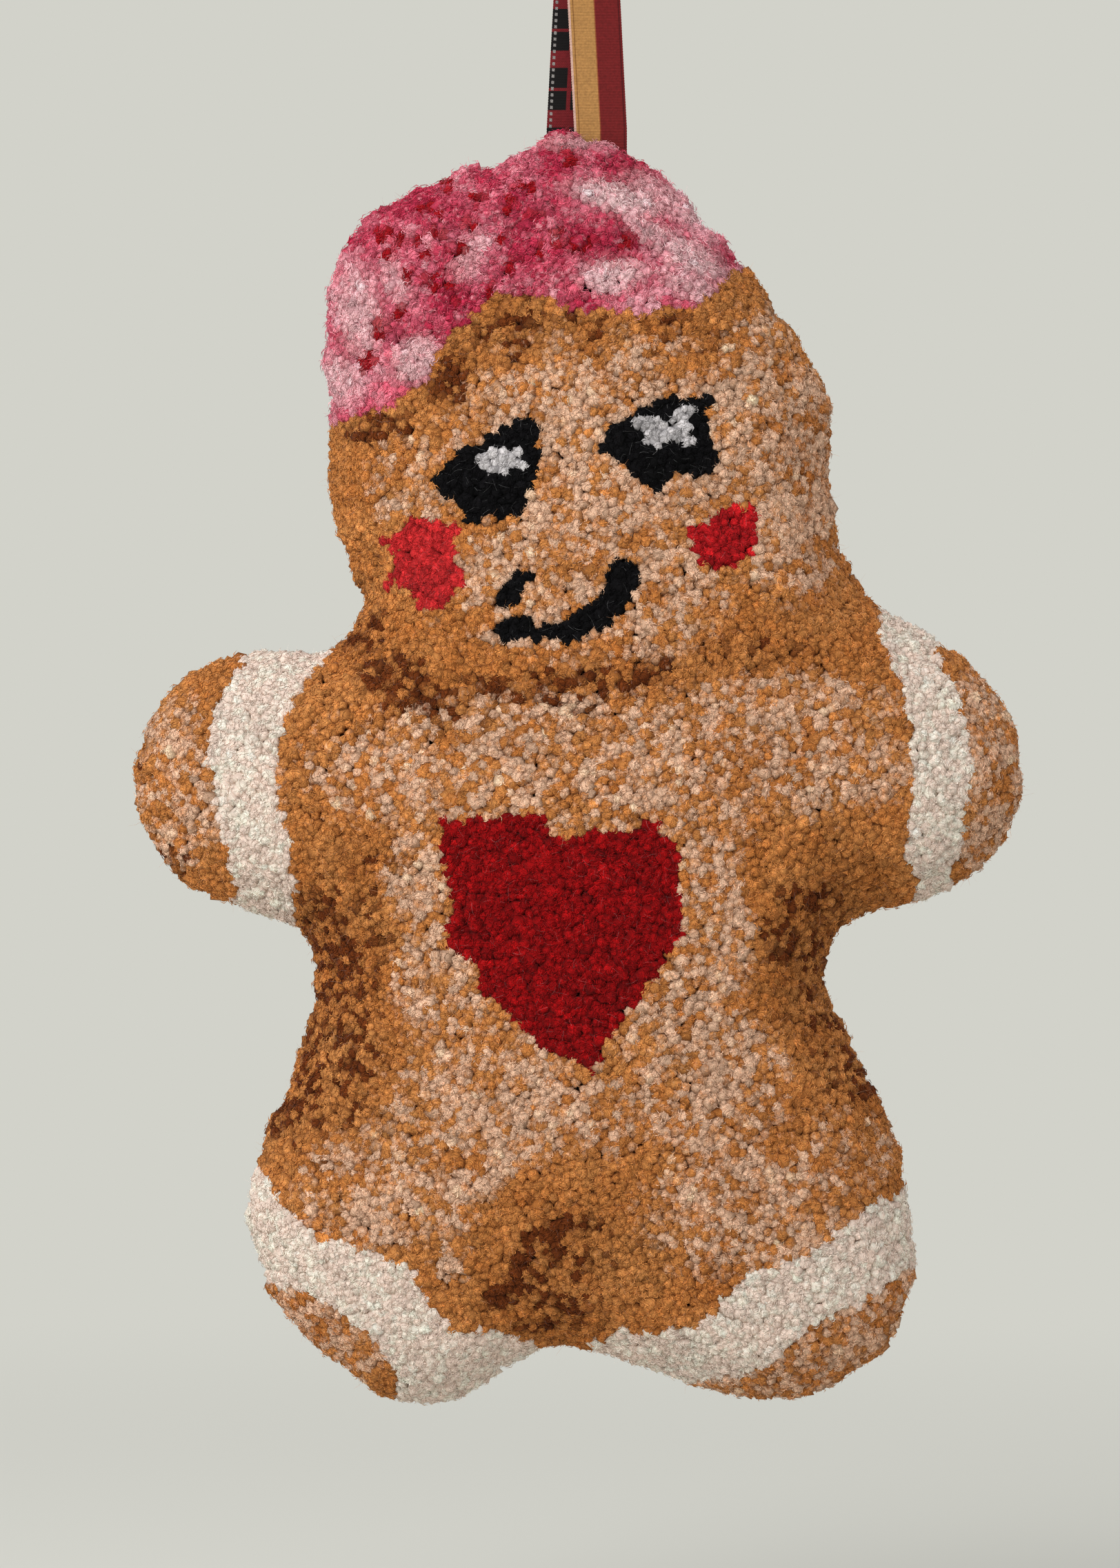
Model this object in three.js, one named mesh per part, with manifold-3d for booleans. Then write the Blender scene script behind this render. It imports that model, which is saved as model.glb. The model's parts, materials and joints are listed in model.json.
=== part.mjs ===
// Hanging gingerbread figure: a stuffed pillow of two cloth panels, with a cut-pile wool front,
// on a ribbon loop. Millimetres, +Z up, and the pile faces -Y. The origin is the underside of the
// loop's crest, where a hook carries it. Left and right are the viewer's. Outlines are [x, z]
// points in the figure's own frame, with zero at the crown.
import * as THREE from "three";
import { mergeVertices } from "three/addons/utils/BufferGeometryUtils.js";
import Module from "manifold-3d";

const wasm = await Module();
wasm.setup();

// Driving dimensions of the pillow
const CLEARANCE = 0.3; // left between faces that touch on the real object
const PILE_HEIGHT = 9; // length of a cut tuft above the canvas
const PILE_RIM = 1.2; // pile left at the outermost edge, where the tufts lean out
const PILE_SPLAY = 4; // how far the leaning edge tufts reach past the seam
const CANVAS_THICKNESS = 1; // tufting canvas with its latex
const FELT_THICKNESS = 1.2; // back panel
const FRONT_DEPTH = 15; // deepest stuffing in front of the seam
const BACK_DEPTH = 20; // depth the back would swell to with no wall behind it
const BACK_FLAT = 15; // depth at which the wall flattens the back
const STUFFING_INSET = 4; // bare seam between the stuffing and the panels' edges

// Driving dimensions of the hanger
const RIBBON_WIDTH = 10;
const RIBBON_THICKNESS = 0.4;
const LOOP_BORE = 9; // free width inside the loop, front to back
const CREST_FLAT = 3; // flat on the crest, where the hook bears
const LOOP_DROP = 50; // crest to the fold above the head
const TWIST_DROP = 24; // crest to the level where the ribbons twist
const TAIL_SPREAD = 2.6; // each tail's sideways step from the middle, at the fold
const SEWN_LENGTH = 12; // ribbon below the fold, held between the panels
const FOLD_GAP = 0.15; // from the fold's axis to the ends that meet there

// Driving dimensions of the sewing
const THREAD = 0.8; // diameter
const TACK_DROP = 6; // crown to the stitch that holds the ribbon
const TACK_WIDTH = 5; // length of that stitch
const HAND_CLOSED = 22; // seam left open beside the ribbon for the stuffing, and closed by hand

// Facets
const OUTLINE_STEPS = 100;
const RING_STEP = 6; // from the stuffing's edge to the next ring of points
const FACET = 12; // spacing of the points over the rest
const FIELD_STEP = 1.5; // spacing of the points that the swelling is worked out on
const FIELD_ROUNDS = 500;

// Driving dimensions of the figure, from the crown down and from the middle out
const HEAD_HEIGHT = 51.5; // crown to the middle of the head
const ARM_DROP = 69; // middle of the head to the middle of the hands
const WAIST_DROP = 36; // middle of the hands to the waist
const LEG_LENGTH = 54.5; // waist to the middle of the feet
const ARM_REACH = 58.5; // midway between the hands to the middle of each
const LEG_REACH = 35.5; // midway between the feet to the middle of each
const WAIST_HALF = 47.6; // half the width at the waist
const BAND_SETBACK = 25.5; // tip of a hand to the middle of its white band
const SOLE_SETBACK = 27.5; // end of the right foot to the middle of its white band
const OUTSIDE = 20; // how far a cut that crosses an edge runs past the figure

// The hand-cut figure isn't quite even, so its parts lie a little left of the ribbon, and one side lower
const HEAD_SHIFT = 1.5;
const HAND_SHIFT = 2.5;
const WAIST_SHIFT = 3;
const FOOT_SHIFT = 0.5;
const HAND_TILT = 1;
const FOOT_TILT = 0.5;

const headLevel = -HEAD_HEIGHT;
const handLevel = headLevel - ARM_DROP;
const waistLevel = handLevel - WAIST_DROP;
const footLevel = waistLevel - LEG_LENGTH;
const HEAD = [-HEAD_SHIFT, headLevel];
const BODY = [-WAIST_SHIFT, waistLevel];
const RIGHT_HAND = {
  centre: [ARM_REACH - HAND_SHIFT, handLevel + HAND_TILT],
  radius: 26.5,
  fromAngle: 70,
  toAngle: -80,
  points: 6,
};
const LEFT_HAND = {
  centre: [-ARM_REACH - HAND_SHIFT, handLevel - HAND_TILT],
  radius: 24.5,
  fromAngle: 260,
  toAngle: 80,
  points: 7,
};
const RIGHT_FOOT = {
  centre: [LEG_REACH - FOOT_SHIFT, footLevel - FOOT_TILT],
  radius: 27.5,
  fromAngle: 18,
  toAngle: -100,
  points: 5,
};
const LEFT_FOOT = [-LEG_REACH - FOOT_SHIFT, footLevel + FOOT_TILT];

// Points of the outline, each from the part that it belongs to
const from = ([x, z], points) => points.map(([right, up]) => [x + right, z + up]);
const headRight = from(HEAD, [
  [0, HEAD_HEIGHT], [15.2, 44.1], [28.8, 29.8], [40.8, 14], [47.7, -2.5], [47.5, -17.3],
]);
const headLeft = from(HEAD, [
  [-47, -18], [-47.7, -1.7], [-48, 17], [-43.3, 32.6], [-31.4, 41.7], [-14.7, 46.7],
]);
const leftFootEdge = from(LEFT_FOOT, [
  [21.9, -21.1], [15.3, -26.5], [4.2, -30], [-8.6, -23.6], [-20.7, -12.9], [-26.5, -0.9], [-28.3, 10.9],
]);
const [rightNeck, leftJaw, leftNeck] = from(HEAD, [[50.5, -30.5], [-43.5, -28], [-40.5, -39.5]]);
const [rightShoulder, rightArmpit] = from(RIGHT_HAND.centre, [[0.5, 30], [-6.5, -28.3]]);
const [leftShoulder, leftArmpit] = from(LEFT_HAND.centre, [[12.5, 24], [6, -27.5]]);
const [rightWaist, rightFlank] = from(BODY, [[WAIST_HALF, 0], [52, -13]]);
const [leftWaist, leftFlank] = from(BODY, [[-WAIST_HALF, 0], [-50, -11]]);
const [rightHip, crotchSide] = from(RIGHT_FOOT.centre, [[21.5, 27.5], [-26, -20.5]]);
const [leftHip, crotch] = from(LEFT_FOOT, [[-20.7, 31], [31, -17.3]]);

// Inlaid colour areas on the body and the face
const heart = from(BODY, [
  [-24, 27.5], [-5, 28], [-3.5, 24], [0, 23.5], [5, 25.5], [12.5, 26], [14.5, 27.8], [19.5, 23], [21.2, 6],
  [12.5, -6], [7.5, -11.5], [6.5, -16], [4.2, -20.5], [2.2, -17.5], [-4.5, -15.5], [-16, -5], [-17.5, 1],
  [-23, 4.5], [-22, 13], [-24.5, 22],
]);
const leftEye = from(HEAD, [
  [-10.8, -2], [-7.1, -4], [-8, -7], [-6.8, -9.3], [-9, -14.5], [-11, -20.8], [-18, -20.5], [-20, -22],
  [-22.5, -17.5], [-27, -14.5], [-23, -8.5], [-16.5, -6.5],
]);
const leftGlint = from(HEAD, [
  [-18.9, -9.8], [-14.3, -8.6], [-10.4, -8.2], [-10.7, -11.6], [-13.3, -12], [-15.9, -13.5],
]);
const rightEye = from(HEAD, [
  [3.5, -7.7], [8, -3], [14.5, 0.8], [24.3, 1.5], [23.5, -5], [26.1, -8.5], [24.5, -12.7], [18, -12.5],
  [14, -15.8], [10, -13], [6, -9],
]);
const rightGlint = from(HEAD, [
  [9.7, -3.1], [13.3, -2.3], [15.8, -3.1], [19.1, -0.3], [21.3, -0.9], [20.3, -4.1], [21.7, -7.3],
  [17.3, -6.6], [12.8, -7.8], [11.8, -5.6],
]);
const leftCheek = from(HEAD, [
  [-37.3, -25.5], [-33, -24], [-31.5, -21.3], [-22.3, -22.3], [-23.1, -28], [-21.7, -33], [-24, -36.5],
  [-29.5, -38.5], [-31, -35], [-36, -33.5], [-33.5, -28.5],
]);
const rightCheek = from(HEAD, [
  [18.8, -22.3], [25.5, -21.8], [26.5, -19], [32.5, -19.3], [33.5, -23], [33.3, -28], [25.5, -31],
  [21.5, -29.5], [22, -25.5],
]);
const mouth = from(HEAD, [
  [5.7, -29.5], [9, -29], [11.5, -33], [9, -37], [4.5, -41.5], [-2.5, -44.7], [-7.5, -43.2], [-9.5, -44],
  [-15.5, -42.5], [-10.5, -39], [-8.3, -42], [-3, -41.3], [2, -38], [5.3, -35.5],
]);
const mouthCorner = from(HEAD, [
  [-14.7, -38], [-13.8, -33.8], [-11.1, -31.6], [-8.9, -33], [-10.8, -35.3], [-12, -37.6],
]);

// Colour areas that run over the figure's edge: a border, closed by points outside the figure
const past = ([x, z], right, up) => [x + right * OUTSIDE, z + up * OUTSIDE];
function closed(border, after, before) {
  const onwards = after.map((move) => past(border.at(-1), ...move));
  const back = before.map((move) => past(border[0], ...move));
  return [...border, ...onwards, ...back];
}
const overHead = (border) => closed(border, [[1, 0], [1, 5]], [[-1, 5], [-1, 0]]);
const band = (first, start, second, end) => [
  past(first[0], ...start), ...first, past(first.at(-1), ...end),
  past(second[0], ...end), ...second, past(second.at(-1), ...start),
];

const icing = overHead(
  from(HEAD, [
    [-48.5, -3], [-40.5, -1.5], [-35.5, 0], [-28.5, 4.5], [-26.5, 11], [-20.5, 17], [-14, 22.2], [-8.5, 20.5],
    [1.5, 18.3], [11.5, 17.3], [21.5, 19], [26.5, 22.8], [31, 26.5],
  ]),
);
const chin = from(HEAD, [[-28.5, -49.5], [-8.5, -56.5], [11.5, -55.5], [31.5, -45.5]]);
const face = overHead([leftNeck, ...chin, rightNeck]);

const leftWrist = [LEFT_HAND.centre[0] - LEFT_HAND.radius + BAND_SETBACK, LEFT_HAND.centre[1]];
const rightWrist = [RIGHT_HAND.centre[0] + RIGHT_HAND.radius - BAND_SETBACK, RIGHT_HAND.centre[1]];
const leftArmBand = band(
  from(leftWrist, [[12.5, 24.5], [7, 19], [3, 11], [2, 3], [2.5, -5.5], [4.5, -11.5], [4.5, -20.5]]), [0, 1],
  from(leftWrist, [
    [-6.2, -21.5], [-8, -11.5], [-10, -4.5], [-10.7, 5.5], [-9.5, 14], [-6, 20], [-4.6, 24.5],
  ]), [0, -1],
);
const rightArmBand = band(
  from(rightWrist, [[-2, 24.5], [1, 18], [3.5, 11], [4.3, 1], [3.3, -9], [3, -16], [5, -22]]), [0, 1],
  from(rightWrist, [
    [11.5, -21], [13.3, -14.5], [14.5, -7.5], [15.3, 0.5], [14, 7.5], [12, 15], [9.5, 20.5], [5, 27.5],
  ]), [0, -1],
);
const leftHand = closed(from(leftWrist, [[-3, 24.5], [-3, -24.5]]), [[0, -1], [-3, -1]], [[-3, 1], [0, 1]]);
const rightHand = closed(from(rightWrist, [[9, -26.5], [9, 26.5]]), [[0, 1], [3, 1]], [[3, -1], [0, -1]]);

const rightAnkle = [RIGHT_FOOT.centre[0], RIGHT_FOOT.centre[1] - RIGHT_FOOT.radius + SOLE_SETBACK];
const leftFootBand = band(
  from(LEFT_FOOT, [
    [-26, 15.5], [-21, 8.5], [-14, 2.5], [-4, 0.5], [3, -3], [7, -10], [11, -15], [19, -14.5], [25.5, -17.5],
  ]), [-1, 0],
  from(LEFT_FOOT, [[0, -22.5], [-3, -18], [-8, -13], [-15, -8], [-24, -6], [-27, -0.5]]), [0, -1],
);
const rightFootBand = band(
  from(rightAnkle, [
    [26, 12.5], [17, 9], [10, 3.5], [3, -1], [-5, -3.5], [-10, -7], [-12, -12], [-23, -14.5], [-29, -13.5],
    [-34, -16],
  ]), [1, 0],
  from(rightAnkle, [
    [-19.6, -23.7], [-9, -22.5], [-2, -21], [3, -17], [7, -12.5], [15, -9.5], [21, -5.5], [25.5, -2],
  ]), [0, -1],
);
const leftSole = closed(from(LEFT_FOOT, [[-20, -3], [-4, -12], [0.2, -20]]), [[0, -2]], [[-2, -3], [-2, 0]]);
const rightSole = closed(
  from(rightAnkle, [[20, 2], [5, -8], [-5, -16], [-21, -21]]), [[0, -2]], [[2, -3], [2, 0]],
);

// Yarns and cloths
const WOOL = { roughness: 1, metalness: 0 };
const cloth = (color, roughness = 0.95) => new THREE.MeshStandardMaterial({ ...WOOL, color, roughness });
const GINGER = cloth(0xb9783f);
const PINK = cloth(0xd9748f);
const WHITE = cloth(0xe9ded4);
const BLACK = cloth(0x0d0c0d);
const GREY = cloth(0xc9c4c2);
const CORAL = cloth(0xd23a3c);
const RED = cloth(0x9c1616);
const CANVAS = cloth(0xd8cdb8);
const FELT = cloth(0x6e3d20);
const FILLING = cloth(0xf2efe8);
const STRIPED = cloth(0xb07a4a, 0.6);
const PLAID = cloth(0x4a1418, 0.6);
const COTTON = cloth(0x5a3018, 0.7);

// A closed geometry as a solid
function solidOf(geometry) {
  const bare = geometry.clone();
  bare.deleteAttribute("normal");
  bare.deleteAttribute("uv");
  const merged = mergeVertices(bare, 1e-4);
  const vertProperties = new Float32Array(merged.attributes.position.array);
  const triVerts = new Uint32Array(merged.index.array);
  return new wasm.Manifold(new wasm.Mesh({ numProp: 3, vertProperties, triVerts }));
}

// The largest body of a cut solid, without the offcuts that a shallow cut leaves
function mainBody(solid) {
  return solid.decompose().reduce((best, body) => (body.volume() > best.volume() ? body : best));
}

function meshOf(name, solid, material) {
  const { vertProperties, triVerts } = mainBody(solid).getMesh();
  const geometry = new THREE.BufferGeometry();
  geometry.setAttribute("position", new THREE.BufferAttribute(vertProperties, 3));
  geometry.setIndex(new THREE.BufferAttribute(triVerts, 1));
  const flat = geometry.toNonIndexed();
  flat.computeVertexNormals();
  const mesh = new THREE.Mesh(flat, material);
  mesh.name = name;
  return mesh;
}

// Points along the round end of a hand or a foot
function arc({ centre, radius, fromAngle, toAngle, points }) {
  return Array.from({ length: points }, (_, i) => {
    const angle = THREE.MathUtils.degToRad(THREE.MathUtils.lerp(fromAngle, toAngle, i / (points - 1)));
    return [centre[0] + radius * Math.cos(angle), centre[1] + radius * Math.sin(angle)];
  });
}

// A closed outline moved outwards by a distance, or inwards by a negative one
function grow(outline, distance) {
  const points = outline.map(([x, z]) => new THREE.Vector2(x, z));
  const turn = Math.sign(THREE.ShapeUtils.area(points));
  return points.map((point, i) => {
    const before = points.at(i - 1);
    const after = points[(i + 1) % points.length];
    const into = point.clone().sub(before).normalize();
    const out = after.clone().sub(point).normalize();
    const along = into.clone().add(out).normalize();
    const reach = distance / Math.max(0.5, Math.abs(along.dot(into)));
    return [point.x + turn * along.y * reach, point.y - turn * along.x * reach];
  });
}

// The column, front to back, over an outline
const COLUMN = 4 * (FRONT_DEPTH + PILE_HEIGHT + BACK_DEPTH);
function prism(outline) {
  const shape = new THREE.Shape(outline.map(([x, z]) => new THREE.Vector2(x, z)));
  const geometry = new THREE.ExtrudeGeometry(shape, { depth: COLUMN, bevelEnabled: false });
  geometry.translate(0, 0, -COLUMN / 2);
  return solidOf(geometry.rotateX(Math.PI / 2));
}

// The figure's outline at the tips of its edge tufts, clockwise from the crown
const landmarks = [
  ...headRight, rightNeck, rightShoulder,
  ...arc(RIGHT_HAND), rightArmpit, rightWaist, rightFlank, rightHip,
  ...arc(RIGHT_FOOT), crotchSide, crotch,
  ...leftFootEdge, leftHip, leftFlank, leftWaist, leftArmpit,
  ...arc(LEFT_HAND), leftShoulder, leftNeck, leftJaw,
  ...headLeft,
].map(([x, z]) => new THREE.Vector3(x, 0, z));
const edgeCurve = new THREE.CatmullRomCurve3(landmarks, true, "centripetal");
const tipOutline = edgeCurve.getSpacedPoints(OUTLINE_STEPS).slice(0, -1).map(({ x, z }) => [x, z]);

// An outline inside another, with its points halfway between the other's
function inset(outline, distance) {
  return grow(outline, -distance).map(([x, z], i, ring) => {
    const [nextX, nextZ] = ring[(i + 1) % ring.length];
    return [(x + nextX) / 2, (z + nextZ) / 2];
  });
}
const seamOutline = inset(tipOutline, PILE_SPLAY);
const stuffingOutline = inset(seamOutline, STUFFING_INSET);
const innerRing = inset(stuffingOutline, RING_STEP);

// Inside test and distance to an outline
function inside(outline, x, z) {
  let within = false;
  outline.forEach(([ax, az], i) => {
    const [bx, bz] = outline.at(i - 1);
    if (az > z !== bz > z && x < ((bx - ax) * (z - az)) / (bz - az) + ax) within = !within;
  });
  return within;
}

const segment = new THREE.Line3();
const nearest = new THREE.Vector3();
function distanceTo(outline, x, z) {
  const point = new THREE.Vector3(x, 0, z);
  return outline.reduce((least, [ax, az], i) => {
    const [bx, bz] = outline.at(i - 1);
    segment.start.set(ax, 0, az);
    segment.end.set(bx, 0, bz);
    return Math.min(least, segment.closestPointToPoint(point, true, nearest).distanceTo(point));
  }, Infinity);
}

// The swelling of a stuffed pillow, from 0 on the seam to 1 at its fullest: the square root of the sag of an
// evenly loaded skin that is held along the seam, worked out by relaxation on a square grid.
const xs = tipOutline.map(([x]) => x);
const zs = tipOutline.map(([, z]) => z);
const low = [Math.min(...xs) - FIELD_STEP, Math.min(...zs) - FIELD_STEP];
const high = [Math.max(...xs) + FIELD_STEP, Math.max(...zs) + FIELD_STEP];
const columns = Math.ceil((high[0] - low[0]) / FIELD_STEP) + 1;
const rows = Math.ceil((high[1] - low[1]) / FIELD_STEP) + 1;
const sag = new Float64Array(columns * rows);
const free = [];
for (let j = 1; j < rows - 1; j++) {
  for (let i = 1; i < columns - 1; i++) {
    if (inside(seamOutline, low[0] + i * FIELD_STEP, low[1] + j * FIELD_STEP)) free.push(j * columns + i);
  }
}
const OVER_RELAXATION = 1.95;
for (let round = 0; round < FIELD_ROUNDS; round++) {
  for (const k of free) {
    const level = (sag[k - 1] + sag[k + 1] + sag[k - columns] + sag[k + columns] + 1) / 4;
    sag[k] += OVER_RELAXATION * (level - sag[k]);
  }
}
const fullest = Math.sqrt(sag.reduce((most, value) => Math.max(most, value), 0));

function swelling(x, z) {
  if (!inside(seamOutline, x, z)) return 0;
  const u = (x - low[0]) / FIELD_STEP;
  const v = (z - low[1]) / FIELD_STEP;
  const k = Math.floor(v) * columns + Math.floor(u);
  const bottom = THREE.MathUtils.lerp(sag[k], sag[k + 1], u % 1);
  const top = THREE.MathUtils.lerp(sag[k + columns], sag[k + columns + 1], u % 1);
  const rise = Math.min(1, distanceTo(seamOutline, x, z) / (2 * FIELD_STEP));
  return Math.sqrt(rise * THREE.MathUtils.lerp(bottom, top, v % 1)) / fullest;
}

// Faces of the layers, as depths along Y over the figure's plane
const canvasBack = (x, z) => -CLEARANCE / 2 - FRONT_DEPTH * swelling(x, z);
const canvasFront = (x, z) => canvasBack(x, z) - CANVAS_THICKNESS;
const pileRoot = (x, z) => canvasFront(x, z) - CLEARANCE;
const feltFront = (x, z) => CLEARANCE / 2 + Math.min(BACK_FLAT, BACK_DEPTH * swelling(x, z));
const feltBack = (x, z) => feltFront(x, z) + FELT_THICKNESS;
const stuffingFront = (x, z) => Math.min(canvasBack(x, z) + CLEARANCE, -CLEARANCE / 8);
const stuffingBack = (x, z) => Math.max(feltFront(x, z) - CLEARANCE, CLEARANCE / 8);
function pileTip(x, z) {
  const depth = inside(tipOutline, x, z) ? Math.min(1, distanceTo(tipOutline, x, z) / PILE_HEIGHT) : 0;
  const rounded = Math.sqrt(1 - (1 - depth) ** 2);
  return pileRoot(x, z) - THREE.MathUtils.lerp(PILE_RIM, PILE_HEIGHT, rounded);
}

// A triangle by its corners, with the circle through them
function circled(points, corners) {
  const [a, b, c] = corners.map((k) => new THREE.Vector2(...points[k]));
  const ab = b.clone().sub(a);
  const ac = c.clone().sub(a);
  const twice = 2 * ab.cross(ac);
  const x = (ac.y * ab.lengthSq() - ab.y * ac.lengthSq()) / twice;
  const z = (ab.x * ac.lengthSq() - ac.x * ab.lengthSq()) / twice;
  return { corners, centre: [a.x + x, a.y + z], reach: Math.hypot(x, z) };
}

// Triangles between points, each with no other point in its circle, where their middle passes a test
function triangulate(points, wanted) {
  const count = points.length;
  const far = 100 * (high[0] - low[0] + high[1] - low[1]);
  const all = [...points, [-far, -far], [far, -far], [0, far]];
  let triangles = [circled(all, [count, count + 1, count + 2])];
  points.forEach(([x, z], point) => {
    const edges = new Map();
    triangles = triangles.filter(({ corners, centre, reach }) => {
      if (Math.hypot(x - centre[0], z - centre[1]) > reach) return true;
      corners.forEach((a, i) => {
        const b = corners[(i + 1) % 3];
        if (!edges.delete(`${b} ${a}`)) edges.set(`${a} ${b}`, [a, b]);
      });
      return false;
    });
    for (const [a, b] of edges.values()) triangles.push(circled(all, [a, b, point]));
  });
  const middle = (corners, axis) => corners.reduce((sum, k) => sum + all[k][axis], 0) / 3;
  return triangles
    .map(({ corners }) => corners)
    .filter((corners) => corners.every((k) => k < count) && wanted(middle(corners, 0), middle(corners, 1)));
}

// The points that every swollen face is drawn over: the outlines, then staggered rows in the middle
const middlePoints = [...seamOutline, ...stuffingOutline, ...innerRing];
for (let j = 0; low[1] + j * FACET < high[1]; j++) {
  for (let i = 0; low[0] + i * FACET < high[0]; i++) {
    const x = low[0] + (i + (j % 2) / 2) * FACET;
    const z = low[1] + j * FACET;
    if (inside(innerRing, x, z) && distanceTo(innerRing, x, z) > FACET / 2) middlePoints.push([x, z]);
  }
}
const skinPoints = [...tipOutline, ...middlePoints];
const inSeam = (x, z) => inside(seamOutline, x, z);
const inSplay = (x, z) => inside(tipOutline, x, z) && !inSeam(x, z);
const skinFaces = [
  ...triangulate([...tipOutline, ...seamOutline], inSplay),
  ...triangulate(middlePoints, inSeam).map((corners) => corners.map((k) => k + tipOutline.length)),
];

// The layer between two faces, over the whole figure
function layer(front, back) {
  const positions = [front, back].flatMap((face) => skinPoints.flatMap(([x, z]) => [x, face(x, z), z]));
  const count = skinPoints.length;
  const faces = [];
  const rim = new Map();
  for (const [a, b, c] of skinFaces) {
    faces.push(a, b, c, a + count, c + count, b + count);
    for (const [from, to] of [[a, b], [b, c], [c, a]]) {
      if (!rim.delete(`${to} ${from}`)) rim.set(`${from} ${to}`, [from, to]);
    }
  }
  for (const [a, b] of rim.values()) faces.push(b, a, a + count, b, a + count, b + count);
  const geometry = new THREE.BufferGeometry();
  geometry.setAttribute("position", new THREE.BufferAttribute(new Float32Array(positions), 3));
  geometry.setIndex(faces);
  return solidOf(geometry);
}

// Hanger: two ribbons back to back, striped outside and plaid inside, bent over the hook into two tails
const plaidFaces = [0, RIBBON_THICKNESS];
const stripedFaces = plaidFaces.map((offset) => offset + RIBBON_THICKNESS + CLEARANCE);
const tailThickness = stripedFaces[1];
const tailMeeting = CLEARANCE / 2; // from the middle plane to the inner face of each tail, at the fold
const foldRoom = tailMeeting + tailThickness + CLEARANCE; // a tail folded flat stays clear of the pile
const crownLevel = -LOOP_DROP - foldRoom - CLEARANCE;
const bendRadius = (LOOP_BORE - CREST_FLAT) / 2;
const BEND_STEPS = 6;
const TAIL_STEPS = 6;

// How far a tail's inner face is from the middle plane at a level
function tailSpacing(level) {
  const share = THREE.MathUtils.smoothstep(level, -LOOP_DROP, -bendRadius);
  return THREE.MathUtils.lerp(tailMeeting, LOOP_BORE / 2, share);
}

// One side's line at an offset from the inner face, from one level down to another
function tailLine(offset, top, bottom) {
  return Array.from({ length: TAIL_STEPS + 1 }, (_, i) => {
    const level = THREE.MathUtils.lerp(top, bottom, i / TAIL_STEPS);
    return [tailSpacing(level) + offset, level];
  });
}

function loopLine(offset, bottom) {
  const bend = Array.from({ length: BEND_STEPS }, (_, i) => {
    const angle = (Math.PI / 2) * (1 - i / BEND_STEPS);
    const reach = bendRadius + offset;
    return [CREST_FLAT / 2 + reach * Math.cos(angle), -bendRadius + reach * Math.sin(angle)];
  });
  return [...bend, ...tailLine(offset, -bendRadius, bottom)];
}

const mirrored = (line) => line.map(([y, z]) => [-y, z]);

// A ribbon with the given section front to back, stepped sideways as its tails come apart
const ACROSS = new THREE.Matrix4().makeBasis(
  new THREE.Vector3(0, 1, 0), new THREE.Vector3(0, 0, 1), new THREE.Vector3(1, 0, 0),
);
function ribbon(name, section, material) {
  const shape = new THREE.Shape(section.map(([y, z]) => new THREE.Vector2(y, z)));
  const geometry = new THREE.ExtrudeGeometry(shape, { depth: RIBBON_WIDTH, bevelEnabled: false });
  geometry.translate(0, 0, -RIBBON_WIDTH / 2).applyMatrix4(ACROSS);
  const at = geometry.attributes.position;
  for (let i = 0; i < at.count; i++) {
    const drop = Math.max(0, -at.getZ(i)) / LOOP_DROP;
    at.setX(i, at.getX(i) - Math.sign(at.getY(i)) * drop * TAIL_SPREAD);
  }
  return meshOf(name, solidOf(geometry), material);
}

function loopSection([inner, outer]) {
  const bottom = -TWIST_DROP + CLEARANCE / 2;
  const far = loopLine(outer, bottom);
  const near = loopLine(inner, bottom);
  return [...mirrored(far).reverse(), ...far, ...[...near].reverse(), ...mirrored(near)];
}

// The tails' ends are bevelled away from the fold's axis, so that a tail can fold flat either way
const foldEnd = (offset) => tailMeeting + offset + FOLD_GAP;
function tailSection([inner, outer]) {
  const top = -TWIST_DROP - CLEARANCE / 2;
  return [
    ...tailLine(inner, top, foldEnd(inner) - LOOP_DROP),
    ...tailLine(outer, top, foldEnd(outer) - LOOP_DROP).reverse(),
  ];
}

const hanger = new THREE.Group();
hanger.add(
  ribbon("striped_ribbon_loop", loopSection(stripedFaces), STRIPED),
  ribbon("plaid_ribbon_loop", loopSection(plaidFaces), PLAID),
  ribbon("front_tail_striped", mirrored(tailSection(stripedFaces)), STRIPED),
  ribbon("front_tail_plaid", mirrored(tailSection(plaidFaces)), PLAID),
  ribbon("back_tail_striped", tailSection(stripedFaces), STRIPED),
  ribbon("back_tail_plaid", tailSection(plaidFaces), PLAID),
);

// The end of one tail below the fold, both ribbons sewn as one, in the figure's frame
const foldLevel = -LOOP_DROP - crownLevel;
function sewnEnd(side) {
  const [inner, outer] = [tailMeeting, tailMeeting + tailThickness];
  const section = [
    [inner, foldLevel - foldEnd(0)], [outer, foldLevel - foldEnd(tailThickness)],
    [outer, foldLevel - SEWN_LENGTH], [inner, foldLevel - SEWN_LENGTH],
  ].map(([y, z]) => new THREE.Vector2(side * y, z));
  const shape = new THREE.Shape(section);
  const geometry = new THREE.ExtrudeGeometry(shape, { depth: RIBBON_WIDTH, bevelEnabled: false });
  geometry.translate(0, 0, -RIBBON_WIDTH / 2).applyMatrix4(ACROSS);
  return solidOf(geometry.translate(-side * TAIL_SPREAD, 0, 0));
}

// The slot that the two ends take up in the seam
function ribbonSlot() {
  const width = RIBBON_WIDTH + 2 * (TAIL_SPREAD + CLEARANCE);
  const depth = 2 * (tailMeeting + tailThickness + CLEARANCE);
  const height = SEWN_LENGTH + CLEARANCE;
  return solidOf(new THREE.BoxGeometry(width, depth, height).translate(0, 0, foldLevel - height / 2));
}

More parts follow.
